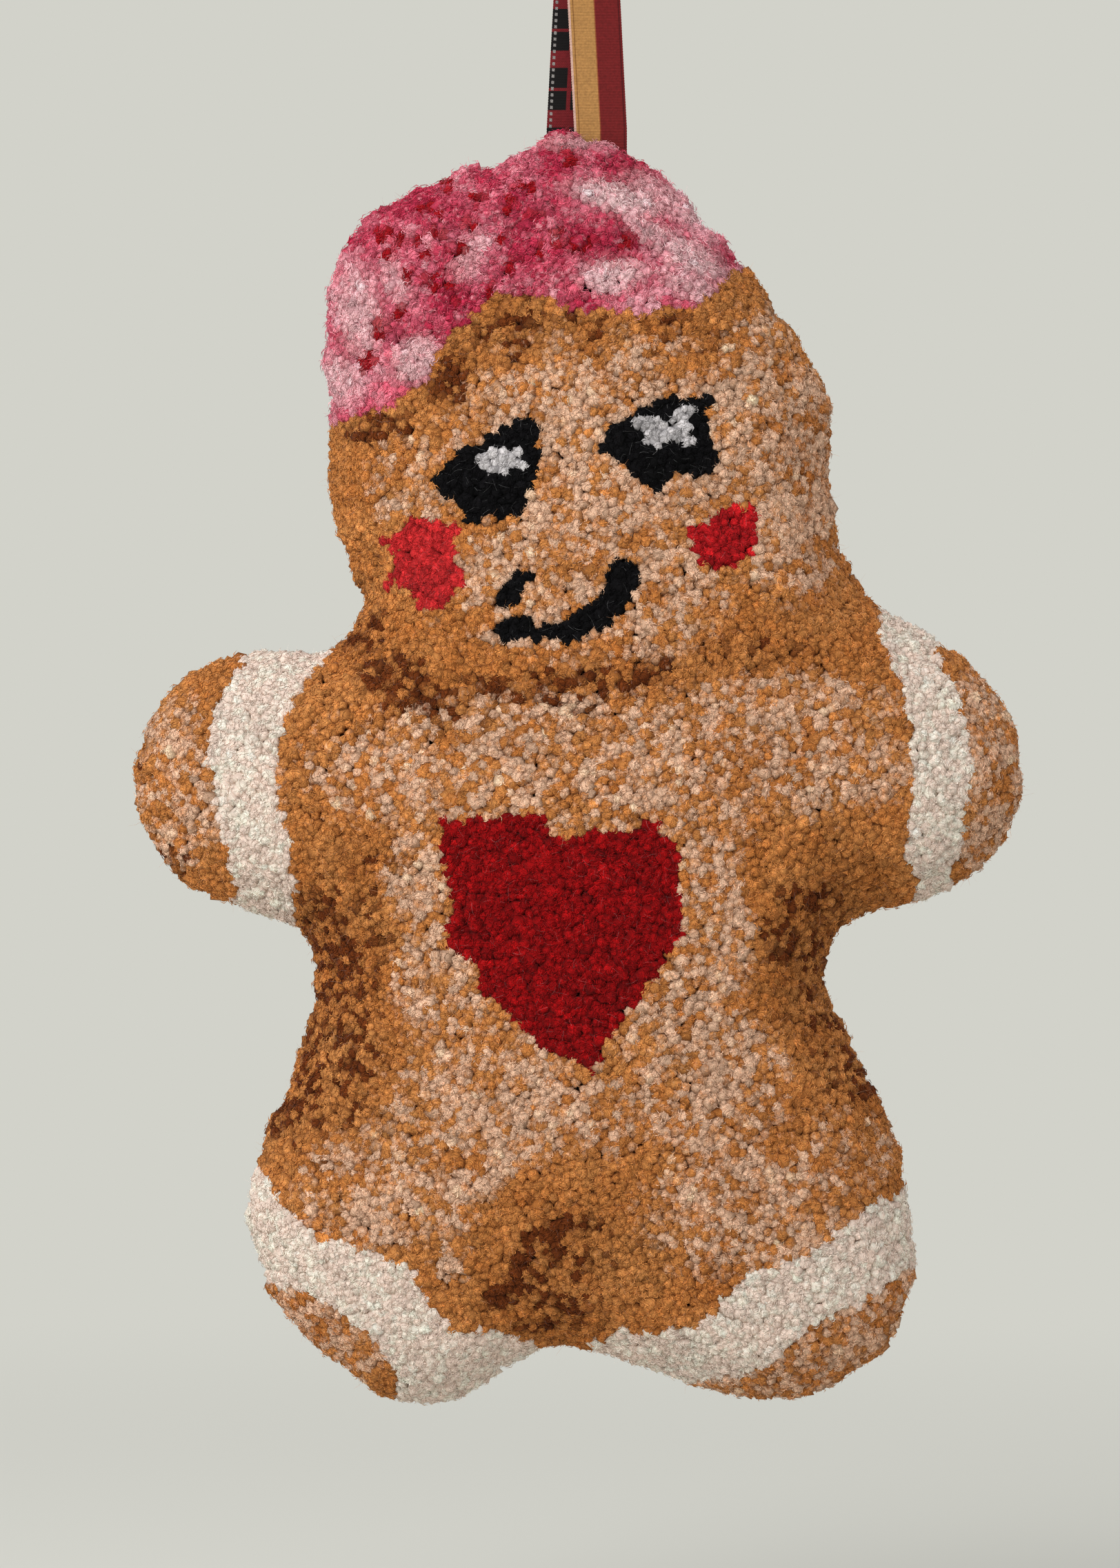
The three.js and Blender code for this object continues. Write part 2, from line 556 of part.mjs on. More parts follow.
// The stitch that holds the tails: a thread looped through both panels
function tack(extra = 0) {
  const radius = THREAD / 2 + extra;
  const gap = CLEARANCE + THREAD / 2;
  const half = TACK_WIDTH / 2;
  const front = Math.min(canvasFront(-half, -TACK_DROP), canvasFront(half, -TACK_DROP)) - gap;
  const back = Math.max(feltBack(-half, -TACK_DROP), feltBack(half, -TACK_DROP)) + gap;
  const rod = (from, to) => {
    const length = from.distanceTo(to) + 2 * radius;
    const geometry = new THREE.BoxGeometry(2 * radius, length, 2 * radius);
    const turn = new THREE.Quaternion().setFromUnitVectors(
      new THREE.Vector3(0, 1, 0), to.clone().sub(from).normalize(),
    );
    geometry.applyQuaternion(turn);
    const middle = from.clone().add(to).divideScalar(2);
    return solidOf(geometry.translate(middle.x, middle.y, middle.z));
  };
  const corners = [[-half, front], [half, front], [half, back], [-half, back]].map(
    ([x, y]) => new THREE.Vector3(x, y, -TACK_DROP),
  );
  return corners.map((corner, i) => rod(corners.at(i - 1), corner)).reduce((all, part) => all.add(part));
}

const tackRoom = tack(CLEARANCE);
const ribbonRoom = ribbonSlot();
const figure = new THREE.Group();
figure.position.z = crownLevel;
const add = (name, solid, material) => figure.add(meshOf(name, solid, material));

add("front_tail_end", sewnEnd(-1).subtract(tackRoom), STRIPED);
add("back_tail_end", sewnEnd(1).subtract(tackRoom), STRIPED);
add("ribbon_tack_stitch", tack(), COTTON);

// Panels, with the ribbon let into the seam between them
const panel = prism(seamOutline);
const canvas = layer(canvasFront, canvasBack).intersect(panel);
const felt = layer(feltFront, feltBack).intersect(panel);
add("tufting_canvas", canvas.subtract(ribbonRoom).subtract(tackRoom), CANVAS);
add("felt_back", felt.subtract(ribbonRoom).subtract(tackRoom), FELT);

// Seam threads along the panels' edge: one machine run, and a hand-sewn run on each side of the ribbon
const threadLine = grow(seamOutline, THREAD / 2 + 2 * CLEARANCE).map(([x, z]) => new THREE.Vector3(x, 0, z));
const threadCurve = new THREE.CatmullRomCurve3(threadLine, true, "centripetal");
const threadLength = threadCurve.getLength();
const THREAD_SIDES = 5;
const THREAD_STEP = 5.5; // length of a thread's straight facets
function threadRun(name, from, to) {
  const steps = Math.ceil((to - from) / THREAD_STEP);
  const points = Array.from({ length: steps + 1 }, (_, i) => {
    const share = THREE.MathUtils.lerp(from, to, i / steps) / threadLength;
    return threadCurve.getPointAt(THREE.MathUtils.euclideanModulo(share, 1));
  });
  const round = new THREE.Shape(
    Array.from({ length: THREAD_SIDES }, (_, i) => {
      const angle = (2 * Math.PI * i) / THREAD_SIDES;
      return new THREE.Vector2(Math.cos(angle), Math.sin(angle)).multiplyScalar(THREAD / 2);
    }),
  );
  const path = new THREE.CatmullRomCurve3(points);
  const tube = new THREE.ExtrudeGeometry(round, { steps, bevelEnabled: false, extrudePath: path });
  add(name, solidOf(tube), COTTON);
}
const ribbonHalf = RIBBON_WIDTH / 2 + TAIL_SPREAD + CLEARANCE + THREAD + HEAD_SHIFT;
threadRun("hand_seam_right", ribbonHalf, HAND_CLOSED);
threadRun("machine_seam", HAND_CLOSED + THREAD, threadLength - HAND_CLOSED - THREAD);
threadRun("hand_seam_left", threadLength - HAND_CLOSED, threadLength - ribbonHalf);

// Stuffing: a wad for the head and for each limb, pushed in before the body's
const stuffing = layer(stuffingFront, stuffingBack).intersect(prism(stuffingOutline)).subtract(ribbonRoom);
const wads = [
  ["head_stuffing", overHead([leftNeck, rightNeck])],
  ["left_arm_stuffing", closed([leftShoulder, leftArmpit], [[-3, 0]], [[-3, 0]])],
  ["right_arm_stuffing", closed([rightShoulder, rightArmpit], [[3, 0]], [[3, 0]])],
  ["left_leg_stuffing", closed([leftHip, crotch], [[0, -3]], [[-2, -6], [-2, 0]])],
  ["right_leg_stuffing", closed([rightHip, crotch], [[0, -3]], [[2, -6], [2, 0]])],
];
let body = stuffing;
for (const [name, outline] of wads) {
  add(name, stuffing.intersect(prism(outline)), FILLING);
  body = body.subtract(prism(grow(outline, CLEARANCE)));
}
add("body_stuffing", body, FILLING);

// Pile: each colour area is tufted with its own yarn, the small inlays first and the ground last
const areas = [
  ["left_glint_pile", leftGlint, GREY],
  ["right_glint_pile", rightGlint, GREY],
  ["left_eye_pile", leftEye, BLACK],
  ["right_eye_pile", rightEye, BLACK],
  ["left_cheek_pile", leftCheek, CORAL],
  ["right_cheek_pile", rightCheek, CORAL],
  ["mouth_pile", mouth, BLACK],
  ["mouth_corner_pile", mouthCorner, BLACK],
  ["heart_pile", heart, RED],
  ["icing_pile", icing, PINK],
  ["left_arm_band_pile", leftArmBand, WHITE],
  ["right_arm_band_pile", rightArmBand, WHITE],
  ["left_foot_band_pile", leftFootBand, WHITE],
  ["right_foot_band_pile", rightFootBand, WHITE],
  ["left_hand_pile", leftHand, GINGER],
  ["right_hand_pile", rightHand, GINGER],
  ["left_foot_pile", leftSole, GINGER],
  ["right_foot_pile", rightSole, GINGER],
  ["face_pile", face, GINGER],
];
let ground = layer(pileTip, pileRoot).intersect(prism(tipOutline)).subtract(ribbonRoom).subtract(tackRoom);
for (const [name, outline, yarn] of areas) {
  add(name, ground.intersect(prism(outline)), yarn);
  ground = ground.subtract(prism(grow(outline, CLEARANCE)));
}
add("torso_pile", ground, GINGER);

const ornament = new THREE.Group();
ornament.add(hanger, figure);

export default ornament;
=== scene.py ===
import json
import math

import bmesh
import bpy
import numpy as np
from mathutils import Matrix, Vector
from mathutils.bvhtree import BVHTree
from mathutils.geometry import delaunay_2d_cdt

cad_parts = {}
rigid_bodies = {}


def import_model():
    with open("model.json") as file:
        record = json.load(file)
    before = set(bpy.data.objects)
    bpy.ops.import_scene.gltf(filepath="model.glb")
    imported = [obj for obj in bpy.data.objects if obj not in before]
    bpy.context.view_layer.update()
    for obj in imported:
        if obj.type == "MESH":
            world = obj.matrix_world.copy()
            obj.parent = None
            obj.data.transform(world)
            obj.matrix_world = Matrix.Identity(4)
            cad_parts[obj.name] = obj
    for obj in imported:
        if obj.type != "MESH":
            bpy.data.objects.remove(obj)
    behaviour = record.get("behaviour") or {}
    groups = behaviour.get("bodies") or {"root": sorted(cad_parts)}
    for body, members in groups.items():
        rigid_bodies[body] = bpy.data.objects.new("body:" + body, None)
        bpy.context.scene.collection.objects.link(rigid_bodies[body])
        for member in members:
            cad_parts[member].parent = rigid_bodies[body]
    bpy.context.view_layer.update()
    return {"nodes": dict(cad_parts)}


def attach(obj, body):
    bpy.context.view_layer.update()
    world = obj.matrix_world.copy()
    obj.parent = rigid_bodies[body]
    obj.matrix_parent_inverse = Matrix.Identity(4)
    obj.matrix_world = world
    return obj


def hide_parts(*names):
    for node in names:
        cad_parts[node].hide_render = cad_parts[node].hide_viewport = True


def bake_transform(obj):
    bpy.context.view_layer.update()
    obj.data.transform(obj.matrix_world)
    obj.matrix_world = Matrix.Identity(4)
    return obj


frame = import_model()
scene = bpy.context.scene
scene.view_settings.view_transform = "Standard"


def paint(red, green, blue):
    parts = [c / 255 for c in (red, green, blue)]
    return tuple(c / 12.92 if c <= 0.04045 else ((c + 0.055) / 1.055) ** 2.4 for c in parts)


# Camera: level, square to the pile, with the photo's frame on the plane of the figure's rim
view = {"middle": (-0.00507, -0.17416), "height": 0.2956, "plane": -0.008, "distance": 1.5, "sensor": 36}
camera = bpy.data.cameras.new("camera")
camera.sensor_fit = "VERTICAL"
camera.sensor_height = view["sensor"]
camera.lens = view["sensor"] * view["distance"] / view["height"]
cameraObject = bpy.data.objects.new("camera", camera)
cameraObject.location = (view["middle"][0], view["plane"] - view["distance"], view["middle"][1])
cameraObject.rotation_euler = (math.pi / 2, 0, 0)
scene.collection.objects.link(cameraObject)
scene.camera = cameraObject

backdrop = paint(210, 210, 202)


def setInputs(node, values):
    for name, value in values.items():
        node.inputs[name].default_value = value


def addNode(tree, kind, values=None, **settings):
    made = tree.nodes.new(kind)
    for name, value in settings.items():
        setattr(made, name, value)
    setInputs(made, values or {})
    return made


# Links, each a node and its output, then the next node and its input
def joinSockets(tree, *links):
    for source, output, target, goal in links:
        tree.links.new(source.outputs[output], target.inputs[goal])


mixA, mixB, mixResult = 6, 7, 2  # a colour mix's inputs and output, by number because their names repeat


def mixColour(tree, blend, factor, values=None):
    inputs = {"Factor": factor, **(values or {})}
    return addNode(tree, "ShaderNodeMix", inputs, data_type="RGBA", blend_type=blend)


# Colour stops along a ramp, with hard edges between them or soft ones
def colourRamp(tree, stops, edges="CONSTANT"):
    ramp = addNode(tree, "ShaderNodeValToRGB")
    ramp.color_ramp.interpolation = edges
    bars = ramp.color_ramp.elements
    for bar, (position, colour) in zip(bars, stops):
        bar.position, bar.color = position, (*colour, 1)
    for position, colour in stops[2:]:
        bars.new(position).color = (*colour, 1)
    return ramp


def newMaterial(name):
    material = bpy.data.materials.new(name)
    material.use_nodes = True
    tree = material.node_tree
    return material, tree, tree.nodes["Principled BSDF"]


def newMesh(name, verts, faces=(), edges=()):
    mesh = bpy.data.meshes.new(name)
    mesh.from_pydata(verts, edges, faces)
    return mesh


def meshPoints(mesh):
    points = np.empty(len(mesh.vertices) * 3)
    mesh.vertices.foreach_get("co", points)
    return points.reshape(-1, 3)


def setPoints(mesh, label, kind, values):
    made = mesh.attributes.new(label, kind, "POINT")
    key = {"FLOAT_COLOR": "color", "FLOAT_VECTOR": "vector"}.get(kind, "value")
    made.data.foreach_set(key, np.ascontiguousarray(values).ravel())


# Faces turned outwards, after points closer than a distance are merged
def tidyFaces(mesh, merged=0):
    work = bmesh.new()
    work.from_mesh(mesh)
    if merged:
        bmesh.ops.remove_doubles(work, verts=work.verts, dist=merged)
    bmesh.ops.recalc_face_normals(work, faces=work.faces)
    work.to_mesh(mesh)
    work.free()


def shadeSoft(mesh):
    mesh.polygons.foreach_set("use_smooth", [True] * len(mesh.polygons))


# Faces between the rings of a tube, and from the last ring to the first where it is a loop
def ringFaces(rows, sides, loop=False):
    faces = []
    for r in range(rows if loop else rows - 1):
        here, there = r * sides, (r + 1) % rows * sides
        for k in range(sides):
            ahead = (k + 1) % sides
            faces.append((here + k, here + ahead, there + ahead, there + k))
    return faces


def newPiece(name, mesh, *materials):
    piece = bpy.data.objects.new(name, mesh)
    scene.collection.objects.link(piece)
    for material in materials:
        mesh.materials.append(material)
    return piece


def unit(vectors):
    return vectors / np.linalg.norm(vectors, axis=1)[:, None]


def eased(share):
    return share * share * (3 - 2 * share)


# A grid's value between four of its points
def between(field, i, j, right, down):
    top = field[j, i] * (1 - right) + field[j, i + 1] * right
    low = field[j + 1, i] * (1 - right) + field[j + 1, i + 1] * right
    return top * (1 - down) + low * down


# Soft daylight from above left, with an even sky
lamp = {"place": (-0.75, -1.0, 0.55), "aim": (0, 0, -0.17), "size": 1.1, "watts": 16.0, "sky": 0.74}


def lightStage():
    key = bpy.data.lights.new("keyLight", "AREA")
    key.size = lamp["size"]
    key.energy = lamp["watts"]
    keyObject = bpy.data.objects.new("keyLight", key)
    keyObject.location = lamp["place"]
    aim = Vector(lamp["aim"]) - Vector(lamp["place"])
    keyObject.rotation_euler = aim.to_track_quat("-Z", "Y").to_euler()
    scene.collection.objects.link(keyObject)
    world = bpy.data.worlds.new("studio")
    scene.world = world
    world.use_nodes = True
    tree = world.node_tree
    sky = tree.nodes["Background"]
    setInputs(sky, {"Color": (1, 1, 1, 1), "Strength": lamp["sky"]})
    seen = addNode(tree, "ShaderNodeBackground", {"Color": (*backdrop, 1)})
    rays = addNode(tree, "ShaderNodeLightPath")
    shiny = addNode(tree, "ShaderNodeMath", operation="MAXIMUM")
    direct = addNode(tree, "ShaderNodeMath", operation="MAXIMUM")
    mix = addNode(tree, "ShaderNodeMixShader")
    joinSockets(
        tree,
        (rays, "Is Glossy Ray", shiny, 0),
        (rays, "Is Transmission Ray", shiny, 1),
        (rays, "Is Camera Ray", direct, 0),
        (shiny, 0, direct, 1),
        (direct, 0, mix, "Fac"),
        (sky, 0, mix, 1),
        (seen, 0, mix, 2),
        (mix, 0, tree.nodes["World Output"], "Surface"),
    )


# Pale floor below the figure, which runs out into the backdrop's colour
floor = {"level": -0.34, "half": 6.0, "near": 0.25, "far": 1.0}


def layFloor():
    half = floor["half"]
    corners = [(-half, -half), (half, -half), (half, half), (-half, half)]
    mesh = newMesh("floor", [(x, y, floor["level"]) for x, y in corners], [(0, 1, 2, 3)])
    material, tree, shader = newMaterial("floorPaper")
    setInputs(shader, {"Base Color": (*backdrop, 1), "Roughness": 0.95, "Specular IOR Level": 0.1})
    glow = addNode(tree, "ShaderNodeEmission", {"Color": (*backdrop, 1)})
    place = addNode(tree, "ShaderNodeTexCoord")
    away = addNode(tree, "ShaderNodeVectorMath", operation="LENGTH")
    fade = addNode(tree, "ShaderNodeMapRange", {
        "From Min": floor["near"], "From Max": floor["far"],
    }, interpolation_type="SMOOTHSTEP")
    mix = addNode(tree, "ShaderNodeMixShader")
    flat = addNode(tree, "ShaderNodeVectorMath", {1: (1, 1, 0)}, operation="MULTIPLY")
    joinSockets(
        tree,
        (place, "Object", flat, 0),
        (flat, 0, away, 0),
        (away, "Value", fade, "Value"),
        (fade, "Result", mix, "Fac"),
        (shader, 0, mix, 1),
        (glow, 0, mix, 2),
        (mix, 0, tree.nodes["Material Output"], "Surface"),
    )
    newPiece("floor", mesh, material)


lightStage()
layFloor()
print("stage: camera, light and floor")

# Hanger: two ribbons back to back, striped outside and plaid inside
ribbon = {
    "width": 0.010,
    "thickness": 0.0004,
    "gap": 0.0003,  # between the two ribbons
    "bore": 0.009,
    "crestFlat": 0.003,
    "drop": 0.050,  # crest to fold
    "spread": 0.0026,  # sideways step of each tail at the fold
    "meeting": 0.00015,
    "sewn": 0.012,
    "join": -0.040,  # level where the loop's piece meets the tails' pieces
    "rib": 0.00025,
    "ribHeight": 0.00003,
    "edgeShare": 0.55,  # thickness at the selvedge
    "columns": 14,
    "points": {"sewn": 60, "tail": 160, "arch": 40, "crest": 8},  # on each stretch of the middle line
    "ribs": (0.01, 74, 0.7),  # threads across and along the striped ribbon, and the tone of every other one
    "taffeta": (52, 40, 0.7),  # the same for the plaid one
    "twist": (-0.014, -0.034),  # levels between which the ribbons twist
    "fold": (-0.0468, -0.0532),  # levels between which they bend over the head
}


def tailSpacing(level):
    bend = (ribbon["bore"] - ribbon["crestFlat"]) / 2
    share = eased(np.clip((level + ribbon["drop"]) / (ribbon["drop"] - bend), 0, 1))
    return ribbon["meeting"] + share * (ribbon["bore"] / 2 - ribbon["meeting"])


# Middle line of a ribbon, from the front sewn end over the crest to the back one, as x, y, z and length
def ribbonLine(offset):
    bend = (ribbon["bore"] - ribbon["crestFlat"]) / 2
    half = ribbon["crestFlat"] / 2
    drop, points = ribbon["drop"], ribbon["points"]
    sewn = [(ribbon["meeting"] + offset, z) for z in np.linspace(-drop - ribbon["sewn"], -drop, points["sewn"])]
    tail = [(tailSpacing(z) + offset, z) for z in np.linspace(-drop, -bend, points["tail"])[1:]]
    angles = np.linspace(0, math.pi / 2, points["arch"])[1:]
    arch = [(half + (bend + offset) * math.cos(a), -bend + (bend + offset) * math.sin(a)) for a in angles]
    crest = [(y, offset) for y in np.linspace(half, 0, points["crest"])[1:]]
    side = np.array(sewn + tail + arch + crest)
    whole = np.vstack([side * (-1, 1), side[::-1][1:]])
    steps = np.hypot(*np.diff(whole, axis=0).T)
    length = np.concatenate([[0], np.cumsum(steps)])
    count = int(round(length[-1] / ribbon["rib"])) + 1
    at = np.linspace(0, length[-1], count)
    y = np.interp(at, length, whole[:, 0])
    z = np.interp(at, length, whole[:, 1])
    lean = np.clip(-z / drop, 0, 1) * ribbon["spread"]
    x = np.where(y < 0, lean, -lean)
    backFold = length[-1] - ribbon["sewn"]
    return np.column_stack([x, y, z]), (backFold - at) / ribbon["width"]


# A strip with ribs across it: outer and inner faces, edges and ends
def ribbonMesh(name, line, along):
    columns = ribbon["columns"]
    rows = len(line)
    tangent = unit(np.gradient(line[:, 1:], axis=0))
    outward = np.column_stack([np.zeros(rows), -tangent[:, 1], tangent[:, 0]])
    share = np.linspace(0, 1, columns)
    wave = np.where(np.arange(rows) % 2 == 0, 1.0, -1.0)
    verts = []
    for face in (1, -1):
        rise = face * (ribbon["thickness"] / 2 - ribbon["ribHeight"] * (1 - wave) / 2)
        for c in range(columns):
            edge = ribbon["ribHeight"] * wave * (2 * share[c] - 1) if c in (0, columns - 1) else 0
            across = (share[c] - 0.5) * ribbon["width"] + edge
            thin = ribbon["edgeShare"] if c in (0, columns - 1) else 1
            place = line + outward * (rise * thin)[:, None]
            place[:, 0] += across
            verts.append(place)
    verts = np.stack(verts).reshape(2, columns, rows, 3)
    index = np.arange(2 * columns * rows).reshape(2, columns, rows)
    faces = []
    for r in range(rows - 1):
        for c in range(columns - 1):
            faces.append((index[0, c, r], index[0, c + 1, r], index[0, c + 1, r + 1], index[0, c, r + 1]))
            faces.append((index[1, c, r], index[1, c, r + 1], index[1, c + 1, r + 1], index[1, c + 1, r]))
        faces.append((index[0, 0, r], index[0, 0, r + 1], index[1, 0, r + 1], index[1, 0, r]))
        faces.append((index[0, -1, r], index[1, -1, r], index[1, -1, r + 1], index[0, -1, r + 1]))
    for c in range(columns - 1):
        faces.append((index[0, c, 0], index[1, c, 0], index[1, c + 1, 0], index[0, c + 1, 0]))
        faces.append((index[0, c, -1], index[0, c + 1, -1], index[1, c + 1, -1], index[1, c, -1]))
    mesh = newMesh(name, verts.reshape(-1, 3).tolist(), [tuple(int(i) for i in f) for f in faces])
    layer = mesh.uv_layers.new(name="weave")
    corner = np.empty(len(mesh.loops), int)
    mesh.loops.foreach_get("vertex_index", corner)
    column = (corner // rows) % columns
    layer.data.foreach_set("uv", np.column_stack([share[column], along[corner % rows]]).ravel())
    tidyFaces(mesh)
    return mesh


# Weave of either ribbon, threads counted across and along a square of its width, and a little mottling
def weave(tree, shader, uv, colour, across, along, depth):
    scaled = addNode(tree, "ShaderNodeMapping", {"Scale": (across, along, 1)})
    threads = addNode(tree, "ShaderNodeTexChecker", {
        "Scale": 1, "Color1": (1, 1, 1, 1), "Color2": (depth, depth, depth, 1),
    })
    mottle = addNode(tree, "ShaderNodeTexNoise", {"Scale": 2200, "Detail": 4})
    place = addNode(tree, "ShaderNodeTexCoord")
    tone = addNode(tree, "ShaderNodeMapRange", {"From Min": 0.3, "From Max": 0.7, "To Min": 0.82, "To Max": 1.18})
    woven = mixColour(tree, "MULTIPLY", 1)
    worn = mixColour(tree, "MULTIPLY", 1)
    bump = addNode(tree, "ShaderNodeBump", {"Strength": 0.35, "Distance": 0.0001})
    joinSockets(
        tree,
        (uv, "UV", scaled, "Vector"),
        (scaled, 0, threads, "Vector"),
        (place, "Object", mottle, "Vector"),
        (mottle, "Fac", tone, "Value"),
        (*colour, woven, mixA),
        (threads, "Color", woven, mixB),
        (woven, mixResult, worn, mixA),
        (tone, "Result", worn, mixB),
        (worn, mixResult, shader, "Base Color"),
        (threads, "Fac", bump, "Height"),
        (bump, 0, shader, "Normal"),
    )
    setInputs(shader, {"Roughness": 0.7, "Specular IOR Level": 0.15, "Sheen Weight": 0.02})


# Stripes across the ribbon, each from its left edge as a share of the width
stripes = {
    "pale": paint(206, 168, 154),
    "gold": paint(179, 131, 76),
    "goldLine": paint(140, 95, 50),
    "meeting": paint(148, 82, 48),
    "wine": paint(114, 28, 29),
    "wineLine": paint(84, 19, 22),
    "across": [
        (0.0, "pale"), (0.042, "gold"), (0.085, "goldLine"), (0.105, "gold"),
        (0.485, "meeting"), (0.505, "wine"), (0.94, "wineLine"), (0.965, "wine"),
    ],
}


def stripedRibbon():
    material, tree, shader = newMaterial("stripedGrosgrain")
    uv = addNode(tree, "ShaderNodeUVMap", uv_map="weave")
    split = addNode(tree, "ShaderNodeSeparateXYZ")
    ramp = colourRamp(tree, [(edge, stripes[name]) for edge, name in stripes["across"]])
    joinSockets(tree, (uv, "UV", split, 0), (split, "X", ramp, "Fac"))
    weave(tree, shader, uv, (ramp, "Color"), *ribbon["ribs"])
    return material


# Plaid: dark red bars across black, two red stripes along, and pale dashes near both edges
plaid = {
    "black": paint(15, 11, 12),
    "red": paint(112, 25, 30),
    "pale": paint(138, 133, 130),
    "start": 0.01,  # of a repeat along the ribbon, in ribbon widths
    "end": 1.15,
    "along": [(0.0, "black"), (0.02, "red"), (0.31, "black"), (0.63, "red"), (0.68, "black")],  # shares of a repeat
    "across": [(0.0, "black"), (0.34, "red"), (0.42, "black"), (0.58, "red"), (0.66, "black")],  # shares of the width
    "lanes": [(0.0, 0), (0.04, 1), (0.09, 0), (0.91, 1), (0.96, 0)],  # where dashes run
    "dashes": (1, 8.5, 1),
    "dashCut": 0.52,
}


def plaidRibbon():
    material, tree, shader = newMaterial("plaidTaffeta")
    uv = addNode(tree, "ShaderNodeUVMap", uv_map="weave")
    split = addNode(tree, "ShaderNodeSeparateXYZ")
    repeat = addNode(tree, "ShaderNodeMath", {1: plaid["end"], 2: plaid["start"]}, operation="WRAP")
    scale = addNode(tree, "ShaderNodeMath", {1: plaid["end"] - plaid["start"]}, operation="DIVIDE")
    along = colourRamp(tree, [(edge, plaid[name]) for edge, name in plaid["along"]])
    across = colourRamp(tree, [(edge, plaid[name]) for edge, name in plaid["across"]])
    cross = mixColour(tree, "LIGHTEN", 1)
    dashScale = addNode(tree, "ShaderNodeMapping", {"Scale": plaid["dashes"]})
    dashes = addNode(tree, "ShaderNodeTexWave", {
        "Scale": 0.62, "Distortion": 0.6,
    }, wave_type="BANDS", bands_direction="DIAGONAL")
    lane = colourRamp(tree, [(edge, (on, on, on)) for edge, on in plaid["lanes"]])
    cut = addNode(tree, "ShaderNodeMath", {1: plaid["dashCut"]}, operation="GREATER_THAN")
    both = addNode(tree, "ShaderNodeMath", operation="MULTIPLY")
    dash = mixColour(tree, "MIX", 0, {mixB: (*plaid["pale"], 1)})
    joinSockets(
        tree,
        (uv, "UV", split, 0),
        (split, "Y", repeat, 0),
        (repeat, 0, scale, 0),
        (scale, 0, along, "Fac"),
        (split, "X", across, "Fac"),
        (along, "Color", cross, mixA),
        (across, "Color", cross, mixB),
        (uv, "UV", dashScale, "Vector"),
        (dashScale, 0, dashes, "Vector"),
        (dashes, "Fac", cut, 0),
        (split, "X", lane, "Fac"),
        (cut, 0, both, 0),
        (lane, "Color", both, 1),
        (both, 0, dash, "Factor"),
        (cross, mixResult, dash, mixA),
    )
    weave(tree, shader, uv, (dash, mixResult), *ribbon["taffeta"])
    return material


def hangRibbons():
    half = ribbon["thickness"] / 2
    kinds = [
        ("plaid", half, plaidRibbon()),
        ("striped", half + ribbon["thickness"] + ribbon["gap"], stripedRibbon()),
    ]
    for kind, offset, material in kinds:
        line, along = ribbonLine(offset)
        front = np.where((line[:, 1] < 0) & (line[:, 2] <= ribbon["join"]))[0]
        back = np.where((line[:, 1] > 0) & (line[:, 2] <= ribbon["join"]))[0]
        loop = np.arange(front[-1], back[0] + 1)
        for name, rows, nodes in [
            (f"{kind}_loop", loop, [f"{kind}_ribbon_loop"]),
            (f"front_{kind}_tail", front, [f"front_tail_{kind}"]),
            (f"back_{kind}_tail", back, [f"back_tail_{kind}"]),
        ]:
            piece = newPiece(name, ribbonMesh(name, line[rows], along[rows]), material)
            if name.endswith("loop"):
                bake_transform(piece)
            else:
                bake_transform(piece)
                if kind == "striped":
                    nodes.append(name.split("_")[0] + "_tail_end")
            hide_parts(*nodes)


hangRibbons()
print("hanger: two ribbons, each a loop and two tails")

# Maps over the figure's plane, read from the frame: canvas and felt depth, and distance in from the seam
maps = {
    "step": 0.001,
    "margin": 0.008,
    "blur": 3.2,  # in steps
    "corner": 0.003,  # least distance between two corners of the felt's edge
    "smooth": 6,  # points of the seam's line for each corner
    "rest": 0.0013,  # depth of either panel at the seam
    "least": 0.0008,  # a hit nearer the middle than this is the seam's own edge
    "afar": 0.2,  # where rays start
}


def nodeArrays(name):
    mesh = frame["nodes"][name].data
    return meshPoints(mesh), [tuple(p.vertices) for p in mesh.polygons]


def treeOf(names):
    verts, polys, owner = [], [], []
    for k, name in enumerate(names):
        co, faces = nodeArrays(name)
        base = len(verts)
        verts.extend(co.tolist())
        polys.extend([tuple(v + base for v in f) for f in faces])
        owner.extend([k] * len(faces))
    return BVHTree.FromPolygons(verts, polys), owner


# The seam's line, in order round the figure, smoothed through the felt panel's own edge
def seamRing():
    co, _ = nodeArrays("felt_back")
    edge = co[np.abs(co[:, 1] - co[:, 1].min()) < 2e-5][:, [0, 2]]
    edge = np.unique(np.round(edge, 6), axis=0)
    left = edge.tolist()
    ring = [left.pop(int(np.argmax(edge[:, 1])))]
    while left:
        away = [math.dist(ring[-1], p) for p in left]
        ring.append(left.pop(int(np.argmin(away))))
    ring = np.array(ring)
    keep = np.linalg.norm(ring - np.roll(ring, 1, axis=0), axis=1) > maps["corner"]
    ring = ring[keep]
    before, after, beyond = np.roll(ring, 1, 0), np.roll(ring, -1, 0), np.roll(ring, -2, 0)
    points = []
    for t in np.linspace(0, 1, maps["smooth"] + 1)[:-1]:
        points.append(0.5 * (2 * ring + (after - before) * t + (2 * before - 5 * ring + 4 * after - beyond) * t * t
                             + (3 * ring - before - 3 * after + beyond) * t ** 3))
    smooth = np.stack(points, axis=1).reshape(-1, 2)
    area = np.sum(smooth[:, 0] * np.roll(smooth[:, 1], -1) - np.roll(smooth[:, 0], -1) * smooth[:, 1])
    return smooth if area > 0 else smooth[::-1]


def resample(ring, step):
    closed = np.vstack([ring, ring[:1]])
    length = np.concatenate([[0], np.cumsum(np.linalg.norm(np.diff(closed, axis=0), axis=1))])
    at = np.linspace(0, length[-1], max(8, int(length[-1] / step)) + 1)[:-1]
    return np.column_stack([np.interp(at, length, closed[:, k]) for k in (0, 1)])


